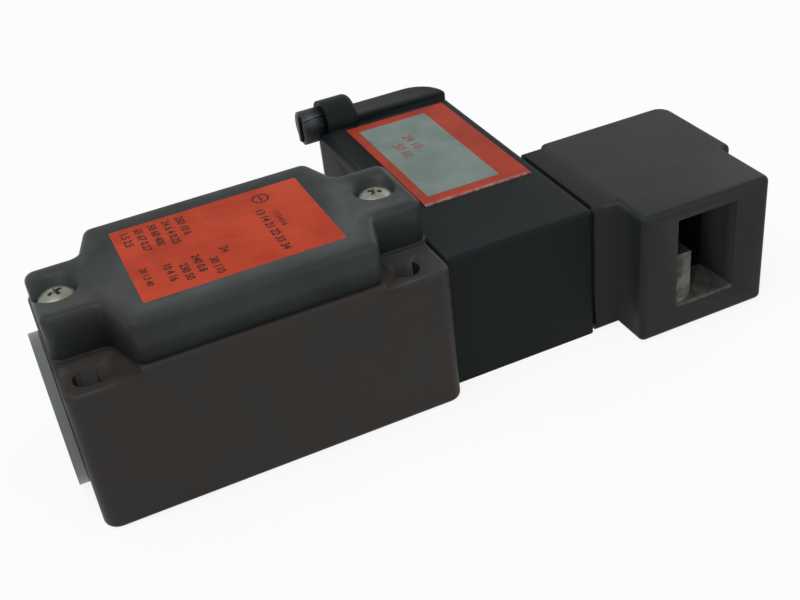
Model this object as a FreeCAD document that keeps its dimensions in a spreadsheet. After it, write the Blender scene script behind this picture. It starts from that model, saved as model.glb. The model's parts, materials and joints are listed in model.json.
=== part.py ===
import FreeCAD, Part
import math
import os
import re
import Sketcher
from FreeCAD import Placement, Rotation, Vector

# Tongue interlock switch with guard locking, millimetres, +Z up.
# Origin: the middle of the four mounting holes, on the mounting face.
# +X runs from the cable entry to the tongue head, -Y is the side of the tongue slot.

DRIVING = {
    # body
    "base_length": 73.5,
    "base_width": 40.0,
    "base_height": 32.5,
    "end_margin": 6.0,
    "pad_drop": 1.5,
    "hole_pitch_x": 60.0,
    "hole_pitch_y": 30.0,
    "mount_bore": 5.3,
    "mount_slot": 2.0,
    "base_corner": 3.0,
    "chamber_corner": 2.0,
    "foot_round": 1.2,
    "rim_round": 0.6,
    "pad_round": 0.9,
    "wall": 3.6,
    "rim": 3.0,
    "groove_land": 0.8,
    "gasket_width": 1.4,
    "gasket_height": 1.2,
    "entry_margin": 1.25,
    "entry_depth": 2.0,
    "entry_bore": 18.5,
    # lid
    "lid_thickness": 8.5,
    "lid_inset_end": 0.4,
    "lid_inset_side": 1.0,
    "lid_corner": 2.2,
    "lid_round": 1.5,
    "lid_wall": 2.6,
    "lip_depth": 1.5,
    "tongue_half": 9.6,
    "notch_root": 26.1,
    "notch_mouth": 23.0,
    "lid_screw_x": 31.2,
    "lid_head_radius": 3.45,
    "lid_head_height": 2.2,
    "lid_counterbore": 4.3,
    "lid_bore_depth": 2.6,
    "lid_shank": 1.9,
    "screw_clearance": 1.35,
    "label_length": 38.0,
    "label_width": 27.5,
    "label_thickness": 0.3,
    # contact block
    "block_bottom": 6.0,
    "block_left_from_middle": -17.75,
    "block_right_from_middle": 19.25,
    "side_from_middle": -13.95,
    "side_half": 13.0,
    "side_top": 22.0,
    "ridge_half": 5.4,
    "ridge_top": 28.0,
    "barrier_from_middle": 2.95,
    "barrier_length": 3.0,
    "window_length_a": 8.8,
    "window_length_b": 8.2,
    "window_a_from_middle": -7.95,
    "window_b_from_middle": 5.45,
    "window_half": 10.8,
    "window_bottom": 12.8,
    "channel_from_middle": -16.25,
    "block_screw_y": 11.0,
    "post_radius": 3.0,
    "small_shank": 1.5,
    "small_head": 2.5,
    "small_head_height": 2.2,
    "earth_from_middle": -17.25,
    "earth_gap": 1.9,
    "earth_top": 12.0,
    "terminal_a_from_middle": -10.75,
    "terminal_b_from_middle": 16.45,
    "terminal_y": 8.0,
    "strip_half": 1.9,
    "strip_thickness": 0.8,
    "clamp_half": 2.5,
    "clamp_thickness": 1.2,
    "contact_radius": 1.6,
    "bridge_half": 9.8,
    "bridge_height": 3.6,
    "bridge_thickness": 0.7,
    "bridge_a_from_middle": -6.95,
    "bridge_b_from_middle": 8.25,
    # plunger line
    "axis_height": 15.0,
    "bush_radius": 5.0,
    "link_screw_low": 8.4,
    "link_screw_high": 9.4,
    "link_shank": 1.75,
    "link_head": 2.7,
    "insert_wall": 0.65,
    "insert_length": 8.0,
    "boss_wall": 1.0,
    "carrier_half": 4.1,
    "carrier_half_height": 5.5,
    "carrier_left_from_middle": -9.25,
    "carrier_right_from_middle": 19.75,
    "plunger_radius": 3.0,
    "neck_radius": 1.6,
    "neck_length": 3.2,
    "nose_length": 3.0,
    "nose_flat": 0.5,
    "clip_reach": 6.2,
    "clip_thickness": 0.8,
    "clip_radius": 4.6,
    "clip_groove": 0.5,
    "stroke": 4.2,
    "running_gap": 0.05,
    "sliding_gap": 0.15,
    "free_gap": 0.3,
    "seal_wire": 0.4,
    "spring_radius": 3.4,
    "spring_wire": 0.4,
    "spring_seat": 0.8,
    # guard-lock module
    "seal_gap": 0.5,
    "module_length": 33.1,
    "module_front": 15.0,
    "module_height": 30.0,
    "module_wall": 2.5,
    "module_round": 8.0,
    "module_edge": 1.0,
    "band_gap": 2.6,
    "band_width": 7.5,
    "band_height": 2.0,
    "cover_thickness": 2.5,
    "cover_lip": 1.2,
    "cover_screw_side": 4.8,
    "cover_screw_front": 14.6,
    "cover_screw_rear": 5.0,
    "cover_shank": 1.25,
    "cover_head": 2.4,
    "cover_boss_top": 9.5,
    "plate_length": 24.9,
    "plate_width": 42.9,
    "plate_offset": 5.9,
    "plate_front": 5.5,
    "release_set": 3.5,
    "release_z": 31.0,
    "release_radius": 4.0,
    "release_reach": 3.0,
    "release_shaft": 2.4,
    "lug_radius": 5.2,
    "lug_inset": 2.2,
    "lug_length": 7.8,
    "lug_wall": 1.5,
    "lug_round": 1.6,
    "arm_length": 8.0,
    "arm_half": 1.2,
    "arm_thickness": 1.8,
    # locking gate and solenoid
    "gate_reach": 17.0,
    "gate_thickness": 2.4,
    "gate_front": 6.6,
    "gate_shoulder": 8.0,
    "gate_back": 16.5,
    "gate_half_height": 5.8,
    "gate_arm_half": 3.0,
    "gate_stroke": 1.5,
    "lock_depth": 3.0,
    "guide_length": 10.8,
    "guide_back": 15.0,
    "frame_front": 17.6,
    "frame_length": 27.4,
    "frame_width": 22.0,
    "frame_height": 16.0,
    "frame_sheet": 2.0,
    "rib_thickness": 2.0,
    "rib_spread": 4.0,
    "rod_radius": 1.5,
    "armature_radius": 4.1,
    "armature_front": 29.5,
    "armature_bore": 2.6,
    "spring_back": 37.5,
    "bobbin_wall": 1.0,
    "flange_radius": 7.8,
    "flange_thickness": 1.5,
    "winding_radius": 7.4,
    "core_back": 27.7,
    "plate_back": 48.9,
    "tail_plate": 1.5,
    "tail_left": 11.0,
    "tail_right": 4.0,
    "tail_low": 4.0,
    "tail_high": 11.5,
    # head
    "neck_reach": 5.3,
    "head_nose": 30.8,
    "head_step": 2.2,
    "head_front": 23.7,
    "head_shoulder": 8.3,
    "head_back": 16.5,
    "head_height": 30.0,
    "head_corner": 3.5,
    "head_round": 1.4,
    "head_screw_y": 10.5,
    "head_screw_z": 10.3,
    "head_shank": 1.5,
    "head_cap": 2.75,
    "head_cap_height": 3.0,
    "slot_left": 8.4,
    "slot_width": 14.2,
    "slot_low": 6.0,
    "slot_high": 27.0,
    "slot_depth": 7.0,
    "throat_inset": 4.2,
    "throat_width": 6.8,
    "throat_low": 8.5,
    "throat_high": 23.0,
    "passage_high": 21.8,
    "passage_back": 12.0,
    "end_slot_low": 1.2,
    "end_slot_width": 10.0,
    "rib_top": 18.0,
    "rib_set": 1.2,
    "floor_plate": 0.8,
    "guide_plate": 3.8,
    "wheel_reach": 12.9,
    "wheel_radius": 9.5,
    "wheel_height": 13.0,
    "wheel_gap": 0.7,
    "cam_high": 8.0,
    "cam_turn": 60.0,
    "cam_wall": 80.0,
    "cam_dwell": 52.0,
    "nose_gap": 0.8,
    "pin_radius": 2.0,
    "pin_cover": 3.0,
    "notch_width": 5.5,
    "notch_depth": 4.0,
}

# Sizes that follow from the driving ones.
DERIVED = {
    "base_left": "-hole_pitch_x / 2 - end_margin",
    "base_right": "base_left + base_length",
    "base_middle": "(base_left + base_right) / 2",
    "block_left": "base_middle + block_left_from_middle",
    "block_right": "base_middle + block_right_from_middle",
    "side_left": "base_middle + side_from_middle",
    "barrier_x": "base_middle + barrier_from_middle",
    "window_left_a": "base_middle + window_a_from_middle",
    "window_left_b": "base_middle + window_b_from_middle",
    "channel_end": "base_middle + channel_from_middle",
    "terminal_x_a": "base_middle + terminal_a_from_middle",
    "terminal_x_b": "base_middle + terminal_b_from_middle",
    "bridge_x_a": "base_middle + bridge_a_from_middle",
    "bridge_x_b": "base_middle + bridge_b_from_middle",
    "carrier_left": "base_middle + carrier_left_from_middle",
    "carrier_right": "base_middle + carrier_right_from_middle",
    "earth_x": "base_middle + earth_from_middle",
    "half_width": "base_width / 2",
    "pad_height": "base_height - pad_drop",
    "entry_height": "base_height / 2",
    "entry_radius": "entry_height - entry_margin",
    "earth_y": "half_width - wall - clamp_half - earth_gap",
    "chamber_right": "base_middle + notch_root - rim / 2",
    "chamber_left": "base_middle - notch_root + rim / 2",
    "lid_left": "base_left + lid_inset_end",
    "lid_right": "base_right - lid_inset_end",
    "lid_half": "half_width - lid_inset_side",
    "lid_top": "base_height + lid_thickness",
    "lid_thread": "base_height - axis_height - link_screw_high - link_shank - screw_clearance",
    "strip_top": "side_top + strip_thickness",
    "clamp_top": "strip_top + clamp_thickness",
    "fixed_x_a": "bridge_x_a + bridge_thickness + 2 * strip_thickness + stroke + free_gap",
    "fixed_x_b": "bridge_x_b - 3 * strip_thickness - free_gap / 2",
    "module_left": "base_right + seal_gap",
    "module_right": "module_left + module_length",
    "module_ceiling": "module_height - module_wall",
    "band_front": "plate_front + plate_width + band_gap",
    "module_back": "band_front + band_width",
    "cover_screw_back": "module_back - cover_screw_rear",
    "release_y": "band_front + release_set",
    "recess_round": "module_round - cover_lip",
    "clip_x": "module_left + clip_reach",
    "gate_x": "module_left + gate_reach",
    "neck_left": "module_right + seal_gap",
    "wheel_x": "neck_left + wheel_reach",
    "head_left": "neck_left + neck_reach",
    "nose_right": "head_left + head_nose",
    "head_right": "nose_right + head_step",
    "slot_x0": "head_left + slot_left",
    "slot_x1": "slot_x0 + slot_width",
    "throat_x0": "slot_x0 + throat_inset",
    "throat_x1": "throat_x0 + throat_width",
    "throat_y": "slot_depth - head_front",
    "cam_low": "cam_high - stroke",
    "tip_x": "wheel_x - cam_high - nose_gap",
    "neck_x": "gate_x - stroke",
    "guide_left": "gate_x - guide_length / 2",
    "guide_right": "gate_x + guide_length / 2",
    "frame_back": "frame_front + frame_length",
    "frame_low": "axis_height - frame_height / 2",
    "frame_high": "axis_height + frame_height / 2",
    "bobbin_bore": "armature_radius + running_gap * 2",
    "bobbin_tube": "bobbin_bore + bobbin_wall",
    "plate_front_y": "plate_back - tail_plate",
    "lug_left": "module_left + lug_inset",
    "lug_right": "lug_left + lug_length",
    "arm_right": "lug_right - lug_wall - free_gap",
    "arm_left": "arm_right - arm_thickness",
    "lug_hollow": "lug_radius - lug_wall",
}

doc = FreeCAD.newDocument("tongue_interlock_switch")
sheet = doc.addObject("Spreadsheet::Sheet", "Sizes")
for row, (word, value) in enumerate(DRIVING.items(), start=1):
    sheet.set(f"A{row}", word.replace("_", " "))
    sheet.set(f"B{row}", str(value))
    sheet.setAlias(f"B{row}", word)
for row, (word, formula) in enumerate(DERIVED.items(), start=len(DRIVING) + 2):
    sheet.set(f"A{row}", word.replace("_", " "))
    sheet.set(f"B{row}", "=" + formula)
    sheet.setAlias(f"B{row}", word)
doc.recompute()
WORDS = set(DRIVING) | set(DERIVED)
subparts = []


def size(word):
    """The value that the sheet holds under a name."""
    return float(getattr(sheet, word))


def linked(text):
    """An expression in which each size name points to the sheet."""
    return re.sub(r"[a-z][a-z_0-9]*", lambda m: "Sizes." + m.group() if m.group() in WORDS else m.group(), text)


def bind(item, **sizes):
    """Bind properties of an object to expressions over the sheet."""
    for name, text in sizes.items():
        item.setExpression(name.replace("__", "."), linked(text))
    return item


def keep(item, label):
    """Mark an object as a sub-part and name it."""
    item.Label = label
    subparts.append(item)
    return item


def box(name, x0, x1, y0, y1, z0, z1):
    item = doc.addObject("Part::Box", name)
    bind(item, Length=f"({x1}) - ({x0})", Width=f"({y1}) - ({y0})", Height=f"({z1}) - ({z0})")
    return bind(item, Placement__Base__x=x0, Placement__Base__y=y0, Placement__Base__z=z0)


TURNS = {"x": Rotation(Vector(0, 1, 0), 90), "y": Rotation(Vector(1, 0, 0), -90), "z": Rotation()}


def rod(name, axis, radius, start, end, at):
    """A cylinder along x, y or z from start to end; at gives the other two coordinates."""
    item = doc.addObject("Part::Cylinder", name)
    item.Placement = Placement(Vector(), TURNS[axis])
    bind(item, Radius=radius, Height=f"({end}) - ({start})")
    places = list(at)
    places.insert("xyz".index(axis), start)
    return bind(item, Placement__Base__x=places[0], Placement__Base__y=places[1], Placement__Base__z=places[2])


def cone(name, axis, radius0, radius1, start, end, at):
    item = doc.addObject("Part::Cone", name)
    item.Placement = Placement(Vector(), TURNS[axis])
    bind(item, Radius1=radius0, Radius2=radius1, Height=f"({end}) - ({start})")
    places = list(at)
    places.insert("xyz".index(axis), start)
    return bind(item, Placement__Base__x=places[0], Placement__Base__y=places[1], Placement__Base__z=places[2])


def ring(name, axis, middle_radius, wire_radius, at):
    item = doc.addObject("Part::Torus", name)
    item.Placement = Placement(Vector(), TURNS[axis])
    bind(item, Radius1=middle_radius, Radius2=wire_radius)
    return bind(item, Placement__Base__x=at[0], Placement__Base__y=at[1], Placement__Base__z=at[2])


def fuse(name, *items):
    item = doc.addObject("Part::MultiFuse", name)
    item.Shapes = list(items)
    item.Refine = True
    return item


def cut(name, base, *tools):
    tool = tools[0] if len(tools) == 1 else fuse(name + "_tools", *tools)
    item = doc.addObject("Part::Cut", name)
    item.Base = base
    item.Tool = tool
    item.Refine = True
    return item


def group(name, items):
    """Several separate solids that share one node."""
    item = doc.addObject("Part::Compound", name)
    item.Links = list(items)
    return item


def straight(edge, axis):
    """True for a straight edge along x, y or z."""
    if edge.Degenerated or not isinstance(edge.Curve, Part.Line):
        return False
    way = edge.tangentAt(edge.FirstParameter)
    return abs(abs(way["xyz".index(axis)]) - 1) < 1e-6


def edges(shape, test):
    return [f"Edge{number}" for number, edge in enumerate(shape.Edges, start=1) if test(edge)]


def rounded(name, base, radius, test):
    """A Part fillet on the edges that pass the test."""
    doc.recompute()
    item = doc.addObject("Part::Fillet", name)
    item.Base = base
    chosen = [number for number, edge in enumerate(base.Shape.Edges, start=1) if test(edge)]
    reach = size(radius)
    item.Edges = [(number, reach, reach) for number in chosen]
    return item


# PartDesign helpers ---------------------------------------------------------------------------

def new_body(name):
    return doc.addObject("PartDesign::Body", name)


def plane_of(body, role):
    return next(item for item in body.Origin.OriginFeatures if item.Role == role)


def sketch(body, name, role, offset, rise="0"):
    """A sketch flat on an origin plane, moved along the plane's normal and along its own y."""
    item = body.newObject("Sketcher::SketchObject", name)
    item.AttachmentSupport = [(plane_of(body, role), "")]
    item.MapMode = "FlatFace"
    item.setExpression("AttachmentOffset.Base.z", linked(offset))
    item.setExpression("AttachmentOffset.Base.y", linked(rise))
    return item


def hold(drawing, rule, text):
    """Add a driving constraint to a sketch and bind its value to the sheet."""
    number = drawing.addConstraint(rule)
    drawing.setExpression(f"Constraints[{number}]", linked(text))


def outline(drawing, corners):
    """A closed outline of straight lines through corners given as pairs of expressions."""
    first = drawing.GeometryCount
    count = len(corners)
    turns = [2 * math.pi * number / count for number in range(count + 1)]
    points = [Vector(math.cos(turn), math.sin(turn), 0) for turn in turns]
    for number in range(count):
        drawing.addGeometry(Part.LineSegment(points[number], points[number + 1]), False)
    for number in range(count):
        follower = first + (number + 1) % count
        drawing.addConstraint(Sketcher.Constraint("Coincident", first + number, 2, follower, 1))
    for number, (x, y) in enumerate(corners):
        hold(drawing, Sketcher.Constraint("DistanceX", -1, 1, first + number, 1, points[number].x), x)
        hold(drawing, Sketcher.Constraint("DistanceY", -1, 1, first + number, 1, points[number].y), y)


def rectangle(drawing, x0, x1, y0, y1):
    outline(drawing, [(x0, y0), (x1, y0), (x1, y1), (x0, y1)])


def circle(drawing, x, y, radius):
    number = drawing.addGeometry(Part.Circle(Vector(1, 1, 0), Vector(0, 0, 1), 1), False)
    hold(drawing, Sketcher.Constraint("DistanceX", -1, 1, number, 3, 1.0), x)
    hold(drawing, Sketcher.Constraint("DistanceY", -1, 1, number, 3, 1.0), y)
    hold(drawing, Sketcher.Constraint("Radius", number, 1.0), radius)


def grow(body, name, drawing, length, back=False):
    item = body.newObject("PartDesign::Pad", name)
    item.Profile = drawing
    item.Reversed = back
    item.setExpression("Length", linked(length))
    drawing.Visibility = False
    doc.recompute()
    return item


def sink(body, name, drawing, length, back=False):
    """A pocket; it raises when it takes nothing away."""
    before = body.Shape.Volume
    item = body.newObject("PartDesign::Pocket", name)
    item.Profile = drawing
    item.Reversed = back
    item.setExpression("Length", linked(length))
    doc.recompute()
    if body.Shape.Volume > before - 1e-6:
        raise RuntimeError(f"{name} cuts nothing")
    return item


def soften(body, name, radius, test, kind="PartDesign::Fillet", grade="Radius"):
    base = body.Tip
    item = body.newObject(kind, name)
    item.Base = (base, edges(base.Shape, test))
    item.setExpression(grade, linked(radius))
    doc.recompute()
    return item


def turned(label, name, corners, y="0", z="axis_height"):
    """A piece turned about an axis along x; corners are pairs of x and radius."""
    body = new_body(name)
    drawing = sketch(body, name + "Profile", "XY_Plane", z, rise=y)
    outline(drawing, corners)
    item = body.newObject("PartDesign::Revolution", name + "Turn")
    item.Profile = drawing
    item.ReferenceAxis = (drawing, ["H_Axis"])
    item.Angle = 360
    drawing.Visibility = False
    doc.recompute()
    return keep(body, label)


def coil(label, name, axis, radius, wire, start, end, turns, at):
    """A compression spring along x or y, wound as a helix."""
    length = end - start
    path = Part.makeLongHelix((length - 2 * wire) / turns, length - 2 * wire, radius)
    section = Part.Wire([Part.makeCircle(wire, Vector(radius, 0, 0), Vector(0, 1, 0))])
    item = doc.addObject("Part::Feature", name)
    item.Shape = Part.Wire(path.Edges).makePipeShell([section], True, True)
    places = list(at)
    places.insert("xyz".index(axis), start + wire)
    item.Placement = Placement(Vector(*places), TURNS[axis])
    return keep(item, label)


# Switch body ----------------------------------------------------------------------------------

SIGNS = {"low": "-", "high": "+"}
SIDES = [(x, y) for x in SIGNS for y in SIGNS]


def lid_corners():
    """The lid's outline: a broad middle and a narrow tongue at each end."""
    root, mouth = "base_middle {} notch_root", "base_middle {} notch_mouth"
    front = [("lid_left", "-tongue_half"), (root.format("-"), "-tongue_half"), (mouth.format("-"), "-lid_half")]
    front += [(mouth.format("+"), "-lid_half"), (root.format("+"), "-tongue_half"), ("lid_right", "-tongue_half")]
    return front + [(x, y[1:]) for x, y in reversed(front)]


def cavity_corners(out="0"):
    """The contact chamber's outline, moved outward by an expression."""
    reach = {sign: f"base_middle {sign} (notch_root - rim / 2 + {out})" for sign in "-+"}
    long = {sign: f"base_middle {sign} (notch_mouth - rim + {out})" for sign in "-+"}
    narrow, broad = f"(tongue_half - rim + {out})", f"(half_width - wall + {out})"
    front = [(reach["-"], "-" + narrow), (long["-"], "-" + narrow), (long["-"], "-" + broad)]
    front += [(long["+"], "-" + broad), (long["+"], "-" + narrow), (reach["+"], "-" + narrow)]
    return front + [(x, y[1:]) for x, y in reversed(front)]


def make_base_housing():
    body = new_body("BaseHousing")
    drawing = sketch(body, "BaseOutline", "XY_Plane", "0")
    rectangle(drawing, "base_left", "base_right", "-half_width", "half_width")
    grow(body, "BaseBlock", drawing, "base_height")
    soften(body, "BaseCorners", "base_corner", lambda edge: straight(edge, "z"))

    drawing = sketch(body, "EntryBossOutline", "YZ_Plane", "base_left")
    circle(drawing, "0", "entry_height", "entry_radius")
    grow(body, "EntryBoss", drawing, "entry_depth", back=True)

    drawing = sketch(body, "PadOutlines", "XY_Plane", "base_height")
    ends = {"low": "base_left - 1", "high": "base_right + 1"}
    for x, y in SIDES:
        root, mouth = f"base_middle {SIGNS[x]} notch_root", f"base_middle {SIGNS[x]} notch_mouth"
        corners = [(ends[x], f"{SIGNS[y]}tongue_half"), (root, f"{SIGNS[y]}tongue_half")]
        corners += [(mouth, f"{SIGNS[y]}lid_half"), (mouth, f"{SIGNS[y]}(half_width + 1)")]
        corners += [(ends[x], f"{SIGNS[y]}(half_width + 1)")]
        outline(drawing, [(a, b.lstrip("+")) for a, b in corners])
    sink(body, "Pads", drawing, "pad_drop")

    drawing = sketch(body, "ChamberOutline", "XY_Plane", "base_height")
    outline(drawing, cavity_corners())
    sink(body, "Chamber", drawing, "base_height - wall")
    soften(body, "ChamberCorners", "chamber_corner", chamber_edge)

    drawing = sketch(body, "SealGrooveOutline", "XY_Plane", "base_height")
    outline(drawing, cavity_corners("groove_land"))
    outline(drawing, cavity_corners("groove_land + gasket_width"))
    sink(body, "SealGroove", drawing, "gasket_height")

    drawing = sketch(body, "RoundHoles", "XY_Plane", "base_height")
    for y in "-+":
        circle(drawing, "hole_pitch_x / 2", f"{y}hole_pitch_y / 2".lstrip("+"), "mount_bore / 2")
    sink(body, "RoundBores", drawing, "base_height + 1")
    for number, shift in enumerate("-+"):
        drawing = sketch(body, f"SlotEnds{number}", "XY_Plane", "base_height")
        for y in "-+":
            place = f"{y}hole_pitch_y / 2".lstrip("+")
            circle(drawing, f"-hole_pitch_x / 2 {shift} mount_slot / 2", place, "mount_bore / 2")
        sink(body, f"SlotBores{number}", drawing, "base_height + 1")
    drawing = sketch(body, "SlotMiddles", "XY_Plane", "base_height")
    for y in "-+":
        place = f"{y}hole_pitch_y / 2".lstrip("+")
        ends = (f"-hole_pitch_x / 2 - mount_slot / 2", f"-hole_pitch_x / 2 + mount_slot / 2")
        rectangle(drawing, *ends, f"{place} - mount_bore / 2", f"{place} + mount_bore / 2")
    sink(body, "SlotMiddle", drawing, "base_height + 1")

    drawing = sketch(body, "EntryOutline", "YZ_Plane", "base_left - entry_depth")
    circle(drawing, "0", "entry_height", "entry_bore / 2")
    sink(body, "EntryBore", drawing, "chamber_left - base_left + entry_depth + 1", back=True)
    drawing = sketch(body, "BushOutline", "YZ_Plane", "base_right")
    circle(drawing, "0", "axis_height", "bush_radius")
    circle(drawing, "0", "axis_height - link_screw_low", "link_shank + running_gap")
    circle(drawing, "0", "axis_height + link_screw_high", "link_shank + running_gap")
    sink(body, "EndWallBores", drawing, "base_right - chamber_right + 1")
    drawing = sketch(body, "LidThreads", "XY_Plane", "base_height")
    for x in "-+":
        circle(drawing, f"{x}lid_screw_x".lstrip("+"), "0", "lid_shank + running_gap")
    sink(body, "LidThreadBores", drawing, "lid_thread + free_gap")

    drawing = sketch(body, "Posts", "XY_Plane", "wall / 2")
    for y in "-+":
        circle(drawing, "barrier_x", f"{y}block_screw_y".lstrip("+"), "post_radius")
    grow(body, "BlockPosts", drawing, "block_bottom - wall / 2")
    drawing = sketch(body, "EarthPostOutline", "XY_Plane", "wall / 2")
    circle(drawing, "earth_x", "earth_y", "post_radius")
    grow(body, "EarthPost", drawing, "earth_top - wall / 2")
    drawing = sketch(body, "PostThreads", "XY_Plane", "earth_top")
    for y in "-+":
        circle(drawing, "barrier_x", f"{y}block_screw_y".lstrip("+"), "small_shank + running_gap")
    circle(drawing, "earth_x", "earth_y", "small_shank + running_gap")
    sink(body, "PostBores", drawing, "earth_top - wall / 3")

    top, low = size("base_height"), size("pad_height")
    half = size("half_width")
    soften(body, "PadRounds", "pad_round", lambda edge: on_rim(edge, low, half))
    soften(body, "RimRounds", "rim_round", lambda edge: on_rim(edge, top, half))
    soften(body, "FootRounds", "foot_round", lambda edge: on_rim(edge, 0, half))
    keep(body, "base_housing")


def chamber_edge(edge):
    """A vertical edge inside the contact chamber."""
    middle = edge.CenterOfMass
    inside = abs(middle.y) < size("half_width") - size("wall") + 0.1
    return straight(edge, "z") and inside and size("wall") < middle.z < size("pad_height") + 1


def on_rim(edge, height, half):
    """An edge on the outside of the casting at one height."""
    box_of = edge.BoundBox
    if abs(box_of.ZMax - height) > 1e-4 or abs(box_of.ZMin - height) > 1e-4:
        return False
    for vertex in edge.Vertexes:
        place = vertex.Point
        ends = min(place.x - size("base_left"), size("base_right") - place.x)
        if min(half - abs(place.y), ends) > 1e-3:
            return False
    return straight(edge, "x") or straight(edge, "y") or edge.Length > size("base_corner")


def signed(sign, text):
    return text if sign == "+" else "-(" + text + ")"


def screw(name, axis, seat, tip, at, head, height, shank):
    """A fastener: a head on the seat, with a broken edge, and a plain shank to the tip."""
    outward = "+" if axis != "-x" else "-"
    way = axis[-1]
    full, top = f"({seat}) {outward} ({height})", f"({seat}) {outward} ({height}) * 0.7"
    ends = [(seat, top), (top, full), (tip, seat)]
    if outward == "-":
        ends = [(high, low) for low, high in ends]
    radii = (head, f"({head}) * 0.85") if outward == "+" else (f"({head}) * 0.85", head)
    parts = [rod(name + "Head", way, head, *ends[0], at)]
    parts.append(cone(name + "Crown", way, *radii, *ends[1], at))
    parts.append(rod(name + "Shank", way, shank, *ends[2], at))
    return fuse(name, *parts)


def make_lid():
    body = new_body("Lid")
    drawing = sketch(body, "LidOutline", "XY_Plane", "base_height")
    outline(drawing, lid_corners())
    grow(body, "LidPlate", drawing, "lid_thickness")
    soften(body, "LidCorners", "lid_corner", lambda edge: straight(edge, "z"))
    top = size("lid_top")
    soften(body, "LidTopRound", "lid_round", lambda edge: abs(edge.BoundBox.ZMin - top) < 1e-4)
    drawing = sketch(body, "LidHollowOutline", "XY_Plane", "base_height")
    outline(drawing, cavity_corners("-rim / 2"))
    sink(body, "LidHollow", drawing, "lid_thickness - lid_wall", back=True)
    drawing = sketch(body, "LipOutline", "XY_Plane", "base_height")
    outline(drawing, cavity_corners("-free_gap"))
    outline(drawing, cavity_corners("-rim / 2"))
    grow(body, "Lip", drawing, "lip_depth", back=True)
    seat = size("base_height")
    soften(body, "LipCorners", "chamber_corner * 0.7",
           lambda edge: straight(edge, "z") and edge.BoundBox.ZMax < seat + 1e-4)
    for name, radius, depth in (("Counterbores", "lid_counterbore", "lid_bore_depth"),
                                ("LidHoles", "lid_shank + running_gap", "lid_thickness + 1")):
        drawing = sketch(body, name, "XY_Plane", "lid_top")
        for x in "-+":
            circle(drawing, signed(x, "lid_screw_x"), "0", radius)
        sink(body, name + "Cut", drawing, depth)
    drawing = sketch(body, "LabelRecess", "XY_Plane", "lid_top")
    rectangle(drawing, *across("base_middle", "label_length"), *across("0", "label_width"))
    sink(body, "LabelRecessCut", drawing, "label_thickness")
    keep(body, "lid")

    body = new_body("LidGasket")
    drawing = sketch(body, "GasketOutline", "XY_Plane", "base_height - gasket_height")
    outline(drawing, cavity_corners("groove_land"))
    outline(drawing, cavity_corners("groove_land + gasket_width"))
    grow(body, "GasketCord", drawing, "gasket_height")
    keep(body, "lid_gasket")

    screws = []
    for x, word in SIGNS.items():
        at = (signed(word, "lid_screw_x"), "0")
        screws.append(screw("LidScrew" + x, "z", "lid_top - lid_bore_depth", "base_height - lid_thread",
                            at, "lid_head_radius", "lid_head_height", "lid_shank"))
    keep(group("LidScrews", screws), "lid_screws")
    keep(box("LidLabel", *across("base_middle", "label_length"), *across("0", "label_width"),
             "lid_top - label_thickness", "lid_top"), "lid_label")


def across(middle, length):
    """The two ends of a length about its middle."""
    return f"({middle}) - ({length}) / 2", f"({middle}) + ({length}) / 2"


# Contact system -------------------------------------------------------------------------------

POLES = "ab"


def make_contact_block():
    ridge = box("BlockRidge", "block_left", "block_right", "-ridge_half", "ridge_half",
                "block_bottom", "ridge_top")
    flanks = box("BlockSides", "side_left", "block_right", "-side_half", "side_half",
                 "block_bottom", "side_top")
    barrier = box("BlockBarrier", *across("barrier_x", "barrier_length"), "-terminal_y", "terminal_y",
                  "side_top", "ridge_top - gate_thickness / 4")
    channel = box("BlockChannel", "channel_end", "block_right + 1", "-carrier_half - sliding_gap",
                  "carrier_half + sliding_gap", "axis_height - carrier_half_height - sliding_gap",
                  "axis_height + carrier_half_height + sliding_gap")
    tools = [channel]
    for pole in POLES:
        left = f"window_left_{pole}"
        tools.append(box("BlockWindow" + pole, left, f"{left} + window_length_{pole}", "-window_half",
                         "window_half", "window_bottom", "side_top"))
    for pole, y in [(pole, y) for pole in POLES for y in "-+"]:
        at = (f"terminal_x_{pole}", signed(y, "terminal_y"))
        tools.append(rod(f"BlockThread{pole}{ord(y)}", "z", "small_shank + running_gap",
                         "axis_height", "side_top + 1", at))
    for y in "-+":
        tools.append(rod(f"BlockHole{ord(y)}", "z", "small_shank + running_gap", "block_bottom - 1",
                         "side_top + 1", ("barrier_x", signed(y, "block_screw_y"))))
    block = cut("ContactBlock", fuse("BlockForm", ridge, flanks, barrier), *tools)
    keep(block, "contact_block")


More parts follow.
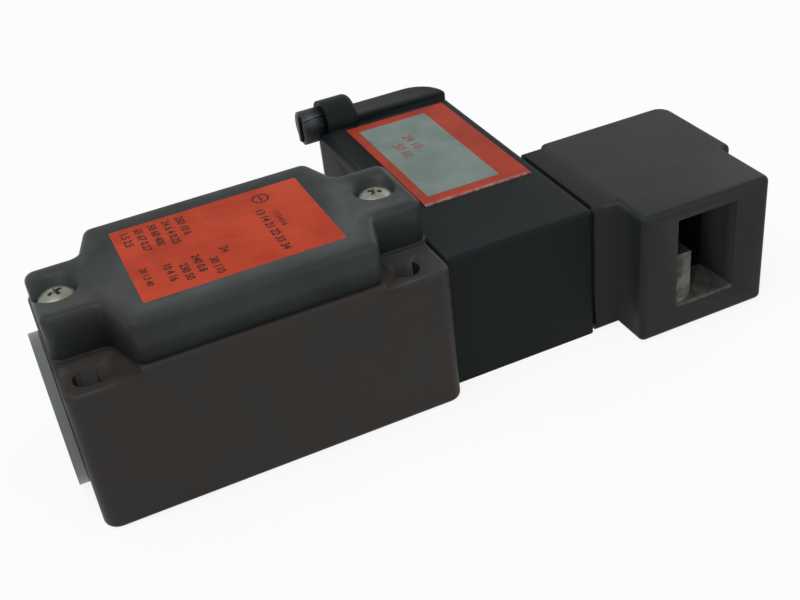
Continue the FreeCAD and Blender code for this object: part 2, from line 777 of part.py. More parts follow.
def make_contacts():
    strips, clamps, screws = [], [], []
    for pole, y in [(pole, y) for pole in POLES for y in "-+"]:
        name = f"{pole}{ord(y)}"
        middle = signed(y, "terminal_y")
        face, terminal = f"fixed_x_{pole}", f"terminal_x_{pole}"
        if pole == "a":
            wall = (face, f"{face} + strip_thickness")
            flat = (f"{terminal} - clamp_half", f"{face} + strip_thickness")
            rivet = (f"{face} - strip_thickness", face)
        else:
            wall = (f"{face}", f"{face} + strip_thickness")
            flat = (face, f"{terminal} + clamp_half")
            rivet = (f"{face} + strip_thickness", f"{face} + 2 * strip_thickness")
        band = across(middle, "2 * strip_half")
        level = box("StripTop" + name, *flat, *band, "side_top", "strip_top")
        drop = box("StripDrop" + name, *wall, *band, "window_bottom + free_gap", "side_top")
        button = rod("StripRivet" + name, "x", "contact_radius", *rivet, (middle, "axis_height"))
        hole = rod("StripHole" + name, "z", "small_shank + running_gap", "side_top - 1", "clamp_top",
                   (terminal, middle))
        strips.append(cut("FixedContact" + name, fuse("StripForm" + name, level, drop, button), hole))
        plate = box("ClampPlate" + name, *across(terminal, "2 * clamp_half"),
                    *across(middle, "2 * clamp_half"), "strip_top", "clamp_top")
        bore = rod("ClampBore" + name, "z", "small_shank + running_gap", "side_top", "clamp_top + 1",
                   (terminal, middle))
        clamps.append(cut("TerminalClamp" + name, plate, bore))
        screws.append(screw("TerminalScrew" + name, "z", "clamp_top", "axis_height + 1", (terminal, middle),
                            "small_head", "small_head_height", "small_shank"))
    keep(group("FixedContacts", strips), "fixed_contacts")
    keep(group("TerminalClamps", clamps), "terminal_clamps")
    keep(group("TerminalScrews", screws), "terminal_screws")

    screws = [screw(f"BlockScrew{ord(y)}", "z", "side_top", "wall / 2 + 1",
                    ("barrier_x", signed(y, "block_screw_y")), "small_head", "small_head_height",
                    "small_shank") for y in "-+"]
    keep(group("BlockScrews", screws), "contact_block_screws")
    plate = box("EarthPlate", *across("earth_x", "2 * clamp_half"), *across("earth_y", "2 * clamp_half"),
                "earth_top", "earth_top + clamp_thickness")
    bore = rod("EarthPlateBore", "z", "small_shank + running_gap", "earth_top - 1", "earth_top + 3",
               ("earth_x", "earth_y"))
    keep(cut("EarthClamp", plate, bore), "earth_clamp")
    keep(screw("EarthScrew", "z", "earth_top + clamp_thickness", "wall", ("earth_x", "earth_y"),
               "small_head", "small_head_height", "small_shank"), "earth_screw")


def make_carrier():
    slider = box("CarrierBar", "carrier_left", "carrier_right", "-carrier_half", "carrier_half",
                 "axis_height - carrier_half_height", "axis_height + carrier_half_height")
    slots, bridges = [], []
    for pole in POLES:
        left = f"bridge_x_{pole}"
        ends = (left, f"{left} + bridge_thickness")
        tall = across("axis_height", "bridge_height")
        slots.append(box("CarrierSlot" + pole, *ends, "-bridge_half", "bridge_half", *tall))
        strip = box("BridgeStrip" + pole, *ends, "-bridge_half", "bridge_half", *tall)
        rivets = (ends[1], f"{ends[1]} + strip_thickness") if pole == "a" else (f"{left} - strip_thickness", left)
        buttons = [rod(f"BridgeRivet{pole}{ord(y)}", "x", "contact_radius", *rivets,
                       (signed(y, "terminal_y"), "axis_height")) for y in "-+"]
        bridges.append(fuse("ContactBridge" + pole, strip, *buttons))
    keep(cut("ContactCarrier", slider, *slots), "contact_carrier")
    keep(group("ContactBridges", bridges), "contact_bridges")
    coil("return_spring", "ReturnSpring", "x", size("spring_radius") - 0.5, size("spring_wire"),
         size("channel_end"), size("carrier_left"), 4, (0, size("axis_height")))


# Plunger line ---------------------------------------------------------------------------------

def make_plunger_line():
    inner = "plunger_radius - clip_groove"
    neck = across("neck_x", "neck_length")
    turned("plunger", "Plunger", [
        ("carrier_right", "0"), ("carrier_right", "plunger_radius"), ("clip_x", "plunger_radius"),
        ("clip_x", inner), ("clip_x + clip_thickness", inner), ("clip_x + clip_thickness", "plunger_radius"),
        (neck[0], "plunger_radius"), (neck[0], "neck_radius"), (neck[1], "neck_radius"),
        (neck[1], "plunger_radius"), ("tip_x - nose_length", "plunger_radius"), ("tip_x", "nose_flat"),
        ("tip_x", "0")])
    turned("plunger_clip", "PlungerClip", [
        ("clip_x", f"{inner} + running_gap"), ("clip_x", "clip_radius"),
        ("clip_x + clip_thickness", "clip_radius"), ("clip_x + clip_thickness", f"{inner} + running_gap")])
    bore, groove = "plunger_radius + running_gap", "plunger_radius + free_gap + 2 * seal_wire + running_gap"
    seal_x = "base_right - 3 * seal_wire"
    turned("plunger_bush", "PlungerBush", [
        ("chamber_right", bore), ("chamber_right", "bush_radius - running_gap"),
        ("base_right", "bush_radius - running_gap"), ("base_right", groove),
        (f"{seal_x} - 1.5 * seal_wire", groove), (f"{seal_x} - 1.5 * seal_wire", bore)])
    keep(ring("PlungerSeal", "x", "plunger_radius + free_gap + seal_wire", "seal_wire",
              (seal_x, "0", "axis_height")), "plunger_seal")
    coil("plunger_spring", "PlungerSpring", "x", size("spring_radius") + 0.5, size("spring_wire"),
         size("module_left") + size("spring_seat"), size("clip_x"), 3, (0, size("axis_height")))

    plate = box("PlungerGuidePlate", "neck_left", "neck_left + guide_plate",
                *across("0", "2 * wheel_radius + sliding_gap"),
                *across("axis_height", "wheel_height + 2 * free_gap"))
    hole = rod("PlungerGuideBore", "x", bore, "neck_left - 1", "neck_left + guide_plate + 1",
               ("0", "axis_height"))
    keep(cut("PlungerGuide", plate, hole), "plunger_guide")


# Guard-lock module ----------------------------------------------------------------------------

def link_places():
    return {"low": ("0", "axis_height - link_screw_low"), "high": ("0", "axis_height + link_screw_high")}


def head_screw_places():
    return [(signed(y, "head_screw_y"), f"axis_height {z} head_screw_z") for y in "-+" for z in "-+"]


def cover_screw_places():
    return [(x, y) for x in ("module_left + cover_screw_side", "module_right - cover_screw_side")
            for y in ("cover_screw_front", "cover_screw_back")]


def module_shell_outline(drawing, inset):
    rectangle(drawing, f"module_left + {inset}", f"module_right - ({inset})",
              f"-module_front + {inset}", f"module_back - ({inset})")


def rear_corner(edge):
    return straight(edge, "z") and edge.CenterOfMass.y > size("band_front")


def make_module_housing():
    body = new_body("ModuleHousing")
    drawing = sketch(body, "ModuleOutline", "XY_Plane", "0")
    module_shell_outline(drawing, "0")
    grow(body, "ModuleBlock", drawing, "module_height")
    drawing = sketch(body, "RearBandOutline", "XY_Plane", "module_height")
    rectangle(drawing, "module_left", "module_right", "band_front", "module_back")
    grow(body, "RearBand", drawing, "band_height")
    soften(body, "RearCorners", "module_round",
           lambda edge: rear_corner(edge) and edge.CenterOfMass.y > size("module_back") - 0.1)
    soften(body, "FrontCorners", "module_edge",
           lambda edge: straight(edge, "z") and edge.CenterOfMass.y < 0)
    tops = (size("module_height"), size("module_height") + size("band_height"))
    soften(body, "TopRounds", "module_edge", lambda edge: module_top(edge, tops))

    drawing = sketch(body, "HollowOutline", "XY_Plane", "0")
    module_shell_outline(drawing, "module_wall")
    sink(body, "Hollow", drawing, "module_ceiling", back=True)
    inside = size("module_back") - size("module_wall")
    soften(body, "HollowCorners", "module_round - module_wall",
           lambda edge: straight(edge, "z") and abs(edge.CenterOfMass.y - inside) < 1e-3)

    drawing = sketch(body, "LinkBosses", "YZ_Plane", "module_left + module_wall / 2")
    for y, z in link_places().values():
        circle(drawing, y, z, "link_shank + insert_wall + boss_wall")
    grow(body, "LinkBoss", drawing, "insert_length - module_wall / 2")
    drawing = sketch(body, "HeadBosses", "YZ_Plane", "module_right - module_wall / 2")
    for y, z in head_screw_places():
        circle(drawing, y, z, "head_shank + insert_wall + boss_wall")
    grow(body, "HeadBoss", drawing, "insert_length - module_wall / 2", back=True)
    drawing = sketch(body, "CoverBosses", "XY_Plane", "cover_thickness")
    for x, y in cover_screw_places():
        circle(drawing, x, y, "cover_shank + boss_wall * 1.4")
    grow(body, "CoverBoss", drawing, "cover_boss_top - cover_thickness")
    drawing = sketch(body, "FrameRibs", "XY_Plane", "frame_high")
    for x in "-+":
        rectangle(drawing, *across(f"gate_x {x} rib_spread", "rib_thickness"),
                  "frame_front + frame_sheet", "frame_back - frame_sheet")
    grow(body, "FrameRib", drawing, "module_ceiling - frame_high")

    drawing = sketch(body, "LinkInsertHoles", "YZ_Plane", "module_left")
    for y, z in link_places().values():
        circle(drawing, y, z, "link_shank + insert_wall + running_gap")
    sink(body, "LinkInsertBores", drawing, "insert_length", back=True)
    drawing = sketch(body, "HeadInsertHoles", "YZ_Plane", "module_right")
    for y, z in head_screw_places():
        circle(drawing, y, z, "head_shank + insert_wall + running_gap")
    sink(body, "HeadInsertBores", drawing, "insert_length")
    drawing = sketch(body, "SpringSeat", "YZ_Plane", "module_left + spring_seat")
    circle(drawing, "0", "axis_height", "clip_radius + free_gap")
    sink(body, "SpringSeatBore", drawing, "module_wall", back=True)
    for name, place, back in (("Left", "module_left", True), ("Right", "module_right", False)):
        drawing = sketch(body, name + "PlungerHole", "YZ_Plane", place)
        circle(drawing, "0", "axis_height", "plunger_radius + free_gap")
        sink(body, name + "PlungerBore", drawing, "module_wall + 1", back=back)
    drawing = sketch(body, "CoverScrewHoles", "XY_Plane", "cover_thickness")
    for x, y in cover_screw_places():
        circle(drawing, x, y, "cover_shank + running_gap")
    sink(body, "CoverScrewBores", drawing, "cover_boss_top - cover_thickness - boss_wall", back=True)

    at = ("release_y", "release_z")
    right = size("lug_right")
    lug = rounded("Lug", rod("LugBar", "x", "lug_radius", "lug_left", "lug_right", at), "lug_round",
                  lambda edge: abs(edge.BoundBox.XMin - right) < 1e-4)
    clip_left, hollow_right = "arm_left - clip_thickness - free_gap", "arm_right + free_gap"
    seal = ("lug_left + seal_wire", "lug_left + 4 * seal_wire")
    recess = box("RecessBlock", "module_left + cover_lip", "module_right - cover_lip",
                 "cover_lip - module_front", "module_back - cover_lip", "-1", "cover_thickness")
    tools = [
        rounded("CoverRecess", recess, "recess_round", rear_corner),
        rod("SpindleHeadPocket", "x", "release_radius + free_gap", "module_left - 1", "lug_left", at),
        rod("SpindleBore", "x", "release_shaft + running_gap", "module_left", "arm_left", at),
        rod("SpindleSealGroove", "x", "release_shaft + free_gap + 2 * seal_wire + running_gap", *seal, at),
        rod("LugHollow", "x", "lug_hollow", clip_left, hollow_right, at),
        box("ArmSlot", clip_left, hollow_right, "release_y - lug_hollow", "module_back - module_wall",
            "release_z - lug_radius - 1", "release_z")]
    keep(cut("ModuleShell", fuse("ModuleForm", body, lug), *tools), "module_housing")


def module_top(edge, tops):
    """A top edge on the outside of the module, not the step of the rear band."""
    level = edge.BoundBox
    if all(abs(level.ZMin - top) > 1e-4 or abs(level.ZMax - top) > 1e-4 for top in tops):
        return False
    return not (straight(edge, "x") and abs(edge.CenterOfMass.y - size("band_front")) < 1e-3
                and level.ZMax < tops[1] - 1e-3)


def make_module_trim():
    body = new_body("ModuleCover")
    drawing = sketch(body, "CoverOutline", "XY_Plane", "0")
    module_shell_outline(drawing, "cover_lip + sliding_gap")
    grow(body, "CoverPlate", drawing, "cover_thickness")
    soften(body, "CoverCorners", "recess_round - sliding_gap", rear_corner)
    drawing = sketch(body, "CoverRibs", "XY_Plane", "cover_thickness")
    for x in "-+":
        rectangle(drawing, *across(f"gate_x {x} rib_spread", "rib_thickness"),
                  "frame_front + frame_sheet", "frame_back - frame_sheet")
    grow(body, "CoverRib", drawing, "frame_low - cover_thickness")
    sinks, screws = [], []
    for number, (x, y) in enumerate(cover_screw_places()):
        name = f"CoverScrew{number}"
        hole = rod(name + "Hole", "z", "cover_shank + running_gap", "-1", "cover_thickness + 1", (x, y))
        seat = cone(name + "Seat", "z", "cover_head + running_gap", "cover_shank + running_gap", "0",
                    "cover_head - cover_shank", (x, y))
        sinks += [hole, seat]
        shank = rod(name + "Shank", "z", "cover_shank", "0", "cover_boss_top - 1.5 * boss_wall", (x, y))
        head = cone(name + "Head", "z", "cover_head", "cover_shank", "0", "cover_head - cover_shank", (x, y))
        screws.append(fuse(name, shank, head))
    keep(cut("CoverDrilled", body, *sinks), "module_cover")
    keep(group("CoverScrews", screws), "module_cover_screws")

    keep(box("ModuleLabel", "module_left + plate_offset", "module_left + plate_offset + plate_length",
             "plate_front", "plate_front + plate_width", "module_height",
             "module_height + label_thickness"), "module_label")

    tubes = []
    for word, (y, z) in link_places().items():
        tubes.append(sleeve("LinkInsert" + word, "link_shank", "module_left", "module_left + insert_length",
                            (y, z)))
    keep(group("ModuleInserts", tubes), "module_inserts")
    tubes = [sleeve(f"HeadInsert{number}", "head_shank", "module_right - insert_length", "module_right", at)
             for number, at in enumerate(head_screw_places())]
    keep(group("HeadInserts", tubes), "head_inserts")
    screws = [screw("LinkScrew" + word, "-x", "chamber_right", "module_left + insert_length - free_gap",
                    at, "link_head", "small_head_height", "link_shank")
              for word, at in link_places().items()]
    keep(group("LinkScrews", screws), "module_screws")

    keep(seal_plate("ModuleGasket", "base_right", "module_left", "module_front - 2",
                    [("0", "axis_height", "plunger_radius + 2 * free_gap")]
                    + [(y, z, "link_shank + free_gap") for y, z in link_places().values()]), "module_gasket")
    keep(seal_plate("HeadGasket", "module_right", "neck_left", "module_front - 1.2",
                    [("0", "axis_height", "plunger_radius + 2 * free_gap")]
                    + [(y, z, "head_shank + free_gap") for y, z in head_screw_places()]), "head_gasket")


def sleeve(name, shank, start, end, at):
    """A threaded insert, shown as a plain tube."""
    outer = rod(name + "Body", "x", f"{shank} + insert_wall", start, end, at)
    inner = rod(name + "Bore", "x", f"{shank} + running_gap", f"{start} - 1", f"{end} + 1", at)
    return cut(name, outer, inner)


def seal_plate(name, start, end, half, holes):
    """A flat gasket between two housings, with clear holes."""
    plate = box(name + "Sheet", start, end, f"-({half})", half, f"axis_height - ({half})",
                f"axis_height + ({half})")
    tools = [rod(f"{name}Hole{number}", "x", radius, f"{start} - 1", f"{end} + 1", (y, z))
             for number, (y, z, radius) in enumerate(holes)]
    return cut(name, plate, *tools)


# Lock, solenoid and auxiliary release ---------------------------------------------------------

def make_lock():
    body = new_body("LockGate")
    drawing = sketch(body, "GateOutline", "YZ_Plane", "gate_x - gate_thickness / 2")
    tall, arm = across("axis_height", "2 * gate_half_height"), across("axis_height", "2 * gate_arm_half")
    outline(drawing, [("-gate_front", tall[0]), ("gate_shoulder", tall[0]), ("gate_shoulder", arm[0]),
                      ("gate_back", arm[0]), ("gate_back", arm[1]), ("gate_shoulder", arm[1]),
                      ("gate_shoulder", tall[1]), ("-gate_front", tall[1])])
    grow(body, "GatePlate", drawing, "gate_thickness")
    big, small = "plunger_radius + free_gap / 2 + 2 * running_gap", "neck_radius + free_gap"
    cuts = {"Wide": ("0", big), "Shifted": ("gate_stroke", big), "Narrow": ("-lock_depth", small)}
    for name, (y, radius) in cuts.items():
        drawing = sketch(body, "Gate" + name + "Hole", "YZ_Plane", "gate_x + gate_thickness / 2")
        circle(drawing, y, "axis_height", radius)
        sink(body, "Gate" + name, drawing, "gate_thickness + 1")
    for name, ends, radius in (("Travel", ("0", "gate_stroke"), big), ("Throat", ("-lock_depth", "0"), small)):
        drawing = sketch(body, "Gate" + name + "Slot", "YZ_Plane", "gate_x + gate_thickness / 2")
        rectangle(drawing, *ends, *across("axis_height", f"2 * ({radius})"))
        sink(body, "Gate" + name, drawing, "gate_thickness + 1")
    soften(body, "GateCorners", "cover_lip", lambda edge: straight(edge, "x")
           and abs(abs(edge.CenterOfMass.z - size("axis_height")) - size("gate_half_height")) < 1e-3)
    keep(body, "lock_gate")

    block = box("GuideBlock", "guide_left", "guide_right", "module_wall - module_front", "guide_back",
                "cover_thickness", "module_ceiling")
    track = box("GuideTrack", *across("gate_x", "gate_thickness + 2 * free_gap"),
                "-gate_front - gate_stroke - free_gap", "guide_back + 1",
                *across("axis_height", "2 * (gate_half_height + free_gap)"))
    bore = rod("GuideBore", "x", "plunger_radius + free_gap", "guide_left - 1", "guide_right + 1",
               ("0", "axis_height"))
    keep(cut("LockGuide", block, track, bore), "lock_guide")

    line = ("gate_x", "axis_height")
    keep(rod("PushRod", "y", "rod_radius", "gate_back", "spring_back", line), "push_rod")
    slug = rod("ArmatureSlug", "y", "armature_radius", "armature_front", "plate_front_y", line)
    bore = rod("ArmatureBore", "y", "armature_bore", "armature_front - 1", "spring_back", line)
    keep(cut("Armature", slug, bore), "armature")
    keep(box("ArmaturePlate", "gate_x - tail_left", "gate_x + tail_right", "plate_front_y", "plate_back",
             "axis_height - tail_low", "axis_height + tail_high"), "armature_plate")
    coil("lock_spring", "LockSpring", "y", (size("rod_radius") + size("armature_bore")) / 2, 0.3,
         size("core_back"), size("spring_back"), 5, (size("gate_x"), size("axis_height")))


def make_solenoid():
    line = ("gate_x", "axis_height")
    front, back = "frame_front + frame_sheet", "frame_back - frame_sheet"
    outer = box("FrameOuter", *across("gate_x", "frame_width"), "frame_front", "frame_back",
                "frame_low", "frame_high")
    inner = box("FrameInner", *across("gate_x", "frame_width - 2 * frame_sheet"), front, back,
                "frame_low - 1", "frame_high + 1")
    rod_hole = rod("FrameRodHole", "y", "rod_radius + free_gap", "frame_front - 1", front, line)
    slug_hole = rod("FrameSlugHole", "y", "armature_radius + free_gap", back, "frame_back + 1", line)
    keep(cut("SolenoidFrame", outer, inner, rod_hole, slug_hole), "solenoid_frame")

    stop = rod("CoreStopBody", "y", "armature_radius", front, "core_back", line)
    bore = rod("CoreStopBore", "y", "rod_radius + running_gap", "frame_front", "core_back + 1", line)
    keep(cut("CoreStop", stop, bore), "core_stop")

    tube = rod("BobbinTube", "y", "bobbin_tube", front, back, line)
    flanges = [rod("BobbinFlangeFront", "y", "flange_radius", front, f"{front} + flange_thickness", line),
               rod("BobbinFlangeBack", "y", "flange_radius", f"{back} - flange_thickness", back, line)]
    bore = rod("BobbinBore", "y", "bobbin_bore", "frame_front", "frame_back", line)
    keep(cut("CoilBobbin", fuse("BobbinForm", tube, *flanges), bore), "coil_bobbin")
    ends = (f"{front} + flange_thickness", f"{back} - flange_thickness")
    winding = rod("WindingBody", "y", "winding_radius", *ends, line)
    bore = rod("WindingBore", "y", "bobbin_tube + running_gap", "frame_front", "frame_back", line)
    keep(cut("CoilWinding", winding, bore), "coil_winding")


def make_release():
    at = ("release_y", "release_z")
    groove = ("arm_left - clip_thickness", "arm_left")
    head = rod("ReleaseHead", "x", "release_radius", "module_left - release_reach",
               "lug_left", at)
    shaft = rod("ReleaseShaft", "x", "release_shaft", "lug_left", "arm_right", at)
    arm = box("ReleaseArm", "arm_left", "arm_right", *across("release_y", "2 * arm_half"),
              "release_z - arm_length", "release_z")
    notch = cut("ReleaseNotch", rod("ReleaseNotchOuter", "x", "release_radius", *groove, at),
                rod("ReleaseNotchCore", "x", "release_shaft - clip_groove", f"{groove[0]} - 1",
                    f"{groove[1]} + 1", at))
    keep(cut("ReleaseSpindle", fuse("ReleaseForm", head, shaft, arm), notch), "release_spindle")
    plate = rod("ReleaseClipPlate", "x", "lug_hollow - free_gap", *groove, at)
    bore = rod("ReleaseClipBore", "x", "release_shaft - clip_groove + running_gap", f"{groove[0]} - 1",
               f"{groove[1]} + 1", at)
    keep(cut("ReleaseClip", plate, bore), "release_clip")
    keep(ring("ReleaseSeal", "x", "release_shaft + free_gap + seal_wire", "seal_wire",
              ("lug_left + 2.5 * seal_wire", *at)), "release_seal")


# Tongue head ----------------------------------------------------------------------------------

def slot_funnel(name):
    """The tongue slot's tapered mouth, narrowing from the face to the throat."""
    item = doc.addObject("Part::Wedge", name)
    return bind(item, Xmin="slot_x0", Xmax="slot_x1", Zmin="slot_low", Zmax="slot_high",
                X2min="slot_x0", X2max="throat_x1", Z2min="throat_low", Z2max="throat_high",
                Ymin="-head_front", Ymax="throat_y")


def make_head():
    body = new_body("HeadForm")
    drawing = sketch(body, "HeadOutline", "XY_Plane", "0")
    outline(drawing, [
        ("neck_left", "-module_front"), ("head_left", "-module_front"), ("head_left", "-head_front"),
        ("nose_right", "-head_front"), ("nose_right", "-head_shoulder"), ("head_right", "-head_shoulder"),
        ("head_right", "head_back"), ("head_left", "head_back"), ("head_left", "module_front"),
        ("neck_left", "module_front")])
    grow(body, "HeadBlock", drawing, "head_height")
    rear = size("head_right")
    soften(body, "HeadRearCorners", "head_corner", lambda edge: straight(edge, "z")
           and edge.CenterOfMass.y > size("head_back") - 1e-3 and edge.CenterOfMass.x > size("wheel_x"))
    soften(body, "HeadCorners", "head_round", lambda edge: straight(edge, "z")
           and edge.CenterOfMass.x > size("head_left") - 1e-3 and not inner_corner(edge, rear))
    levels = (0, size("head_height"))
    soften(body, "HeadRims", "head_round", lambda edge: any(
        abs(edge.BoundBox.ZMin - level) < 1e-4 and abs(edge.BoundBox.ZMax - level) < 1e-4
        for level in levels) and edge.CenterOfMass.x > size("neck_left") + 1e-3)

    at = ("wheel_x", "0")
    room = across("axis_height", "wheel_height + free_gap")
    tools = [slot_funnel("SlotFunnel")]
    tools.append(rod("WheelRoom", "z", "wheel_radius + wheel_gap", *room, at))
    tools.append(box("NeckRoom", "neck_left - 1", "wheel_x", *across("0", "2 * wheel_radius + 2 * sliding_gap"),
                     *across("axis_height", "wheel_height + 2 * (free_gap + running_gap)")))
    tools.append(box("Passage", "throat_x0", "throat_x1", "throat_y - 0.01", "passage_back",
                     "throat_low", "passage_high"))
    tools.append(box("EndSlot", "wheel_x", "head_right + 1", "end_slot_low",
                     "end_slot_low + end_slot_width", "throat_low", "passage_high"))
    tools.append(rod("PinHole", "z", "pin_radius + running_gap / 2", "-1", "head_height - pin_cover", at))
    for number, place in enumerate(head_screw_places()):
        tools.append(rod(f"HeadScrewHole{number}", "x", "head_shank + running_gap", "neck_left - 1",
                         "head_right + 1", place))
        tools.append(rod(f"HeadCapHole{number}", "x", "head_cap + free_gap / 2",
                         "nose_right - head_cap_height - rib_set", "head_right + 1", place))
    keep(cut("HeadHousing", body, *tools), "head_housing")

    rib = doc.addObject("Part::Common", "GuideRib")
    rib.Base = slot_funnel("RibFunnel")
    rib.Tool = box("RibBlock", "slot_x0", "throat_x0", "rib_set - head_front", "throat_y",
                   "slot_low - 1", "rib_top")
    floor = slot_funnel("GuideFloor")
    bind(floor, Zmax="slot_low + floor_plate", Z2max="throat_low + floor_plate")
    keep(fuse("SlotGuide", rib, floor), "slot_guide")

    keep(rod("CamPin", "z", "pin_radius", "running_gap", "head_height - pin_cover - running_gap", at), "cam_pin")
    screws = [screw(f"HeadScrew{number}", "x", "nose_right - head_cap_height - rib_set",
                    "module_right - insert_length + free_gap", place, "head_cap", "head_cap_height",
                    "head_shank") for number, place in enumerate(head_screw_places())]
    keep(group("HeadScrews", screws), "head_screws")


def inner_corner(edge, rear):
    """The two concave corners beside the neck and the one at the end step."""
    place = edge.CenterOfMass
    beside_neck = abs(place.x - size("head_left")) < 1e-3 and abs(abs(place.y) - size("module_front")) < 1e-3
    at_step = abs(place.x - size("nose_right")) < 1e-3 and abs(place.y + size("head_shoulder")) < 1e-3
    return beside_neck or at_step or place.x > rear


def make_cam_wheel():
    """The cam disc: full radius beside the tongue, a dwell, a spiral and a low dwell for the plunger."""
    ends = across("axis_height", "wheel_height")
    at = ("wheel_x", "0")
    wall, dwell, turn = size("cam_wall"), size("cam_dwell"), size("cam_turn")
    rim = rod("CamRim", "z", "wheel_radius", *ends, at)
    rim.Placement.Rotation = Rotation(Vector(0, 0, 1), 180 + dwell)
    bind(rim, Angle="180 + cam_wall - cam_dwell")
    high = rod("CamDwell", "z", "cam_high", *ends, at)
    high.Placement.Rotation = Rotation(Vector(0, 0, 1), 180)
    bind(high, Angle="cam_dwell")
    hub = rod("CamHub", "z", "cam_low", *ends, at)

    body = new_body("CamSpiral")
    drawing = sketch(body, "SpiralOutline", "XY_Plane", ends[0])
    steps = 6
    corners = [at]
    for step in range(steps + 1):
        angle = f"(180 - cam_turn * {step} / {steps})"
        radius = f"(cam_low + stroke * {steps - step} / {steps})"
        corners.append((f"wheel_x + {radius} * cos({angle})", f"{radius} * sin({angle})"))
    outline(drawing, corners)
    grow(body, "SpiralPad", drawing, "wheel_height")

    bore = rod("CamBore", "z", "pin_radius + running_gap", "0", "head_height", at)
    tools = [bore]
    for name, angle in (("Front", -35), ("Back", 45)):
        notch = doc.addObject("Part::Box", "Notch" + name)
        notch.Placement = Placement(Vector(), Rotation(Vector(0, 0, 1), angle))
        bind(notch, Length="notch_depth + 1", Width="notch_width", Height="wheel_height + 2",
             Placement__Base__z=f"{ends[0]} - 1",
             Placement__Base__x=f"wheel_x + (wheel_radius - notch_depth) * cos({angle}) "
                                f"+ notch_width / 2 * sin({angle})",
             Placement__Base__y=f"(wheel_radius - notch_depth) * sin({angle}) "
                                f"- notch_width / 2 * cos({angle})")
        tools.append(notch)
    keep(cut("CamWheel", fuse("CamForm", rim, high, hub, body), *tools), "cam_wheel")


make_base_housing()
make_lid()
make_contact_block()
make_contacts()
make_carrier()
make_plunger_line()
make_module_housing()
make_module_trim()
make_lock()
make_solenoid()
make_release()
make_head()
make_cam_wheel()
doc.recompute()

failed = [item.Name for item in doc.Objects if {"Invalid", "Error"} & set(item.State)]
failed += [part.Label for part in subparts if part.Shape.isNull() or not part.Shape.isValid()]
if failed:
    raise RuntimeError("failed: " + ", ".join(failed))
os.makedirs("parts", exist_ok=True)
for part in subparts:
    part.Shape.exportStep(f"parts/{part.Label}.step")
print(len(subparts), "sub-parts")
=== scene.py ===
import json
import math

import bmesh
import bpy
from bpy.props import FloatProperty, FloatVectorProperty, PointerProperty
from mathutils import Matrix, Vector


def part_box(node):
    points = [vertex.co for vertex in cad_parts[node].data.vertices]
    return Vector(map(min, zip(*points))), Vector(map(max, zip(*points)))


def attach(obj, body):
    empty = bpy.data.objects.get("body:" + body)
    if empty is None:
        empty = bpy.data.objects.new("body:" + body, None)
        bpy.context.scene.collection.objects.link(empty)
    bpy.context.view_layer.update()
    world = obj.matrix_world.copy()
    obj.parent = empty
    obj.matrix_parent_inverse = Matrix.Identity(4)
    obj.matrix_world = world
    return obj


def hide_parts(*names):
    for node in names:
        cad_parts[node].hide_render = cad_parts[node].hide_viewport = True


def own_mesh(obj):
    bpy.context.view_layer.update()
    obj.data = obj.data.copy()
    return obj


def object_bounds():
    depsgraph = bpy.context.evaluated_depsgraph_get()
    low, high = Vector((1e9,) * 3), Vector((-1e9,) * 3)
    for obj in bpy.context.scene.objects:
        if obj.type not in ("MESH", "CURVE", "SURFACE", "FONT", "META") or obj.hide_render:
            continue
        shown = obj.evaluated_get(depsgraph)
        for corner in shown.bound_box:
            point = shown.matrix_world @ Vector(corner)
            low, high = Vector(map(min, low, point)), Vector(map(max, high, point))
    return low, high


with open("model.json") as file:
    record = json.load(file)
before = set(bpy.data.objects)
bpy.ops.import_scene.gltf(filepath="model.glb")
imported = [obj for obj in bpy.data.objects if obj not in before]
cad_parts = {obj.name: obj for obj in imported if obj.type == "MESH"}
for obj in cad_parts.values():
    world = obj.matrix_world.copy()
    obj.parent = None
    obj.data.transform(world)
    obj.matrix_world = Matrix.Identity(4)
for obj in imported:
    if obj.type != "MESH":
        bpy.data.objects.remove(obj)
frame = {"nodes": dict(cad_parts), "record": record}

bl_info = {
    "name": "Tongue interlock switch",
    "version": (1, 0, 0),
    "blender": (4, 5, 0),
    "location": "View3D > Sidebar > Interlock switch",
    "description": "Finishes and fine pieces of a tongue-operated interlock switch",
    "category": "Object",
}

MM = 0.001
CAD_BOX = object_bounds()
FLOOR = CAD_BOX[0].z


def mm(value):
    return value * MM


PAINT_GLOSS = 0.1        # specular level of enamel, plastic, rubber and foil
METAL_GLOSS = 0.5
COAT_ROUGHNESS = 0.25
ENTRY_BOSS = mm(2.0)     # how far the cable entry's boss stands out of the body's end
ENTRY_BORE = mm(9.25)    # radius of the cable entry
ENTRY_HEIGHT = mm(16.25)
RELEASE_HEIGHT = mm(31.0)
FIGURE_SHARE = 0.7       # height of a figure as a share of the font's size
FIGURE_WEIGHT = 0.035    # how much a figure's strokes are thickened, as a share of its height

PAPER = 0.92             # tone of the floor
PAPER_GLOW = 0.88        # how far the floor is white where the camera sees it
ROOM_TINT = (0.92, 0.96, 1.0)
ROOM_LIGHT = 0.32
LAMP_WIDTH = 0.6
LAMPS = {                # place from the object's middle in metres, and power in watts
    "key_lamp": ((-0.30, -0.10, 0.85), 4.4),
    "fill_lamp": ((0.35, -0.80, 0.35), 1.7),
    "side_lamp": ((0.80, 0.40, 0.55), 1.6),
}
CAMERA_PLACE = (-0.0367, -0.1862, 0.1484)
CAMERA_ANGLES = (-20.70, 34.04, -7.17)    # turn about the vertical, rise and roll in degrees
CAMERA_LENS, CAMERA_SENSOR = 52.25, 36.0


# Sizes and colours ----------------------------------------------------------------------------

def length(name, description, default):
    return FloatProperty(name=name, description=description, default=default, min=0.0,
                         subtype="DISTANCE", unit="LENGTH")


def tint(name, description, default):
    return FloatVectorProperty(name=name, description=description, default=default, size=3,
                               min=0.0, max=1.0, subtype="COLOR")


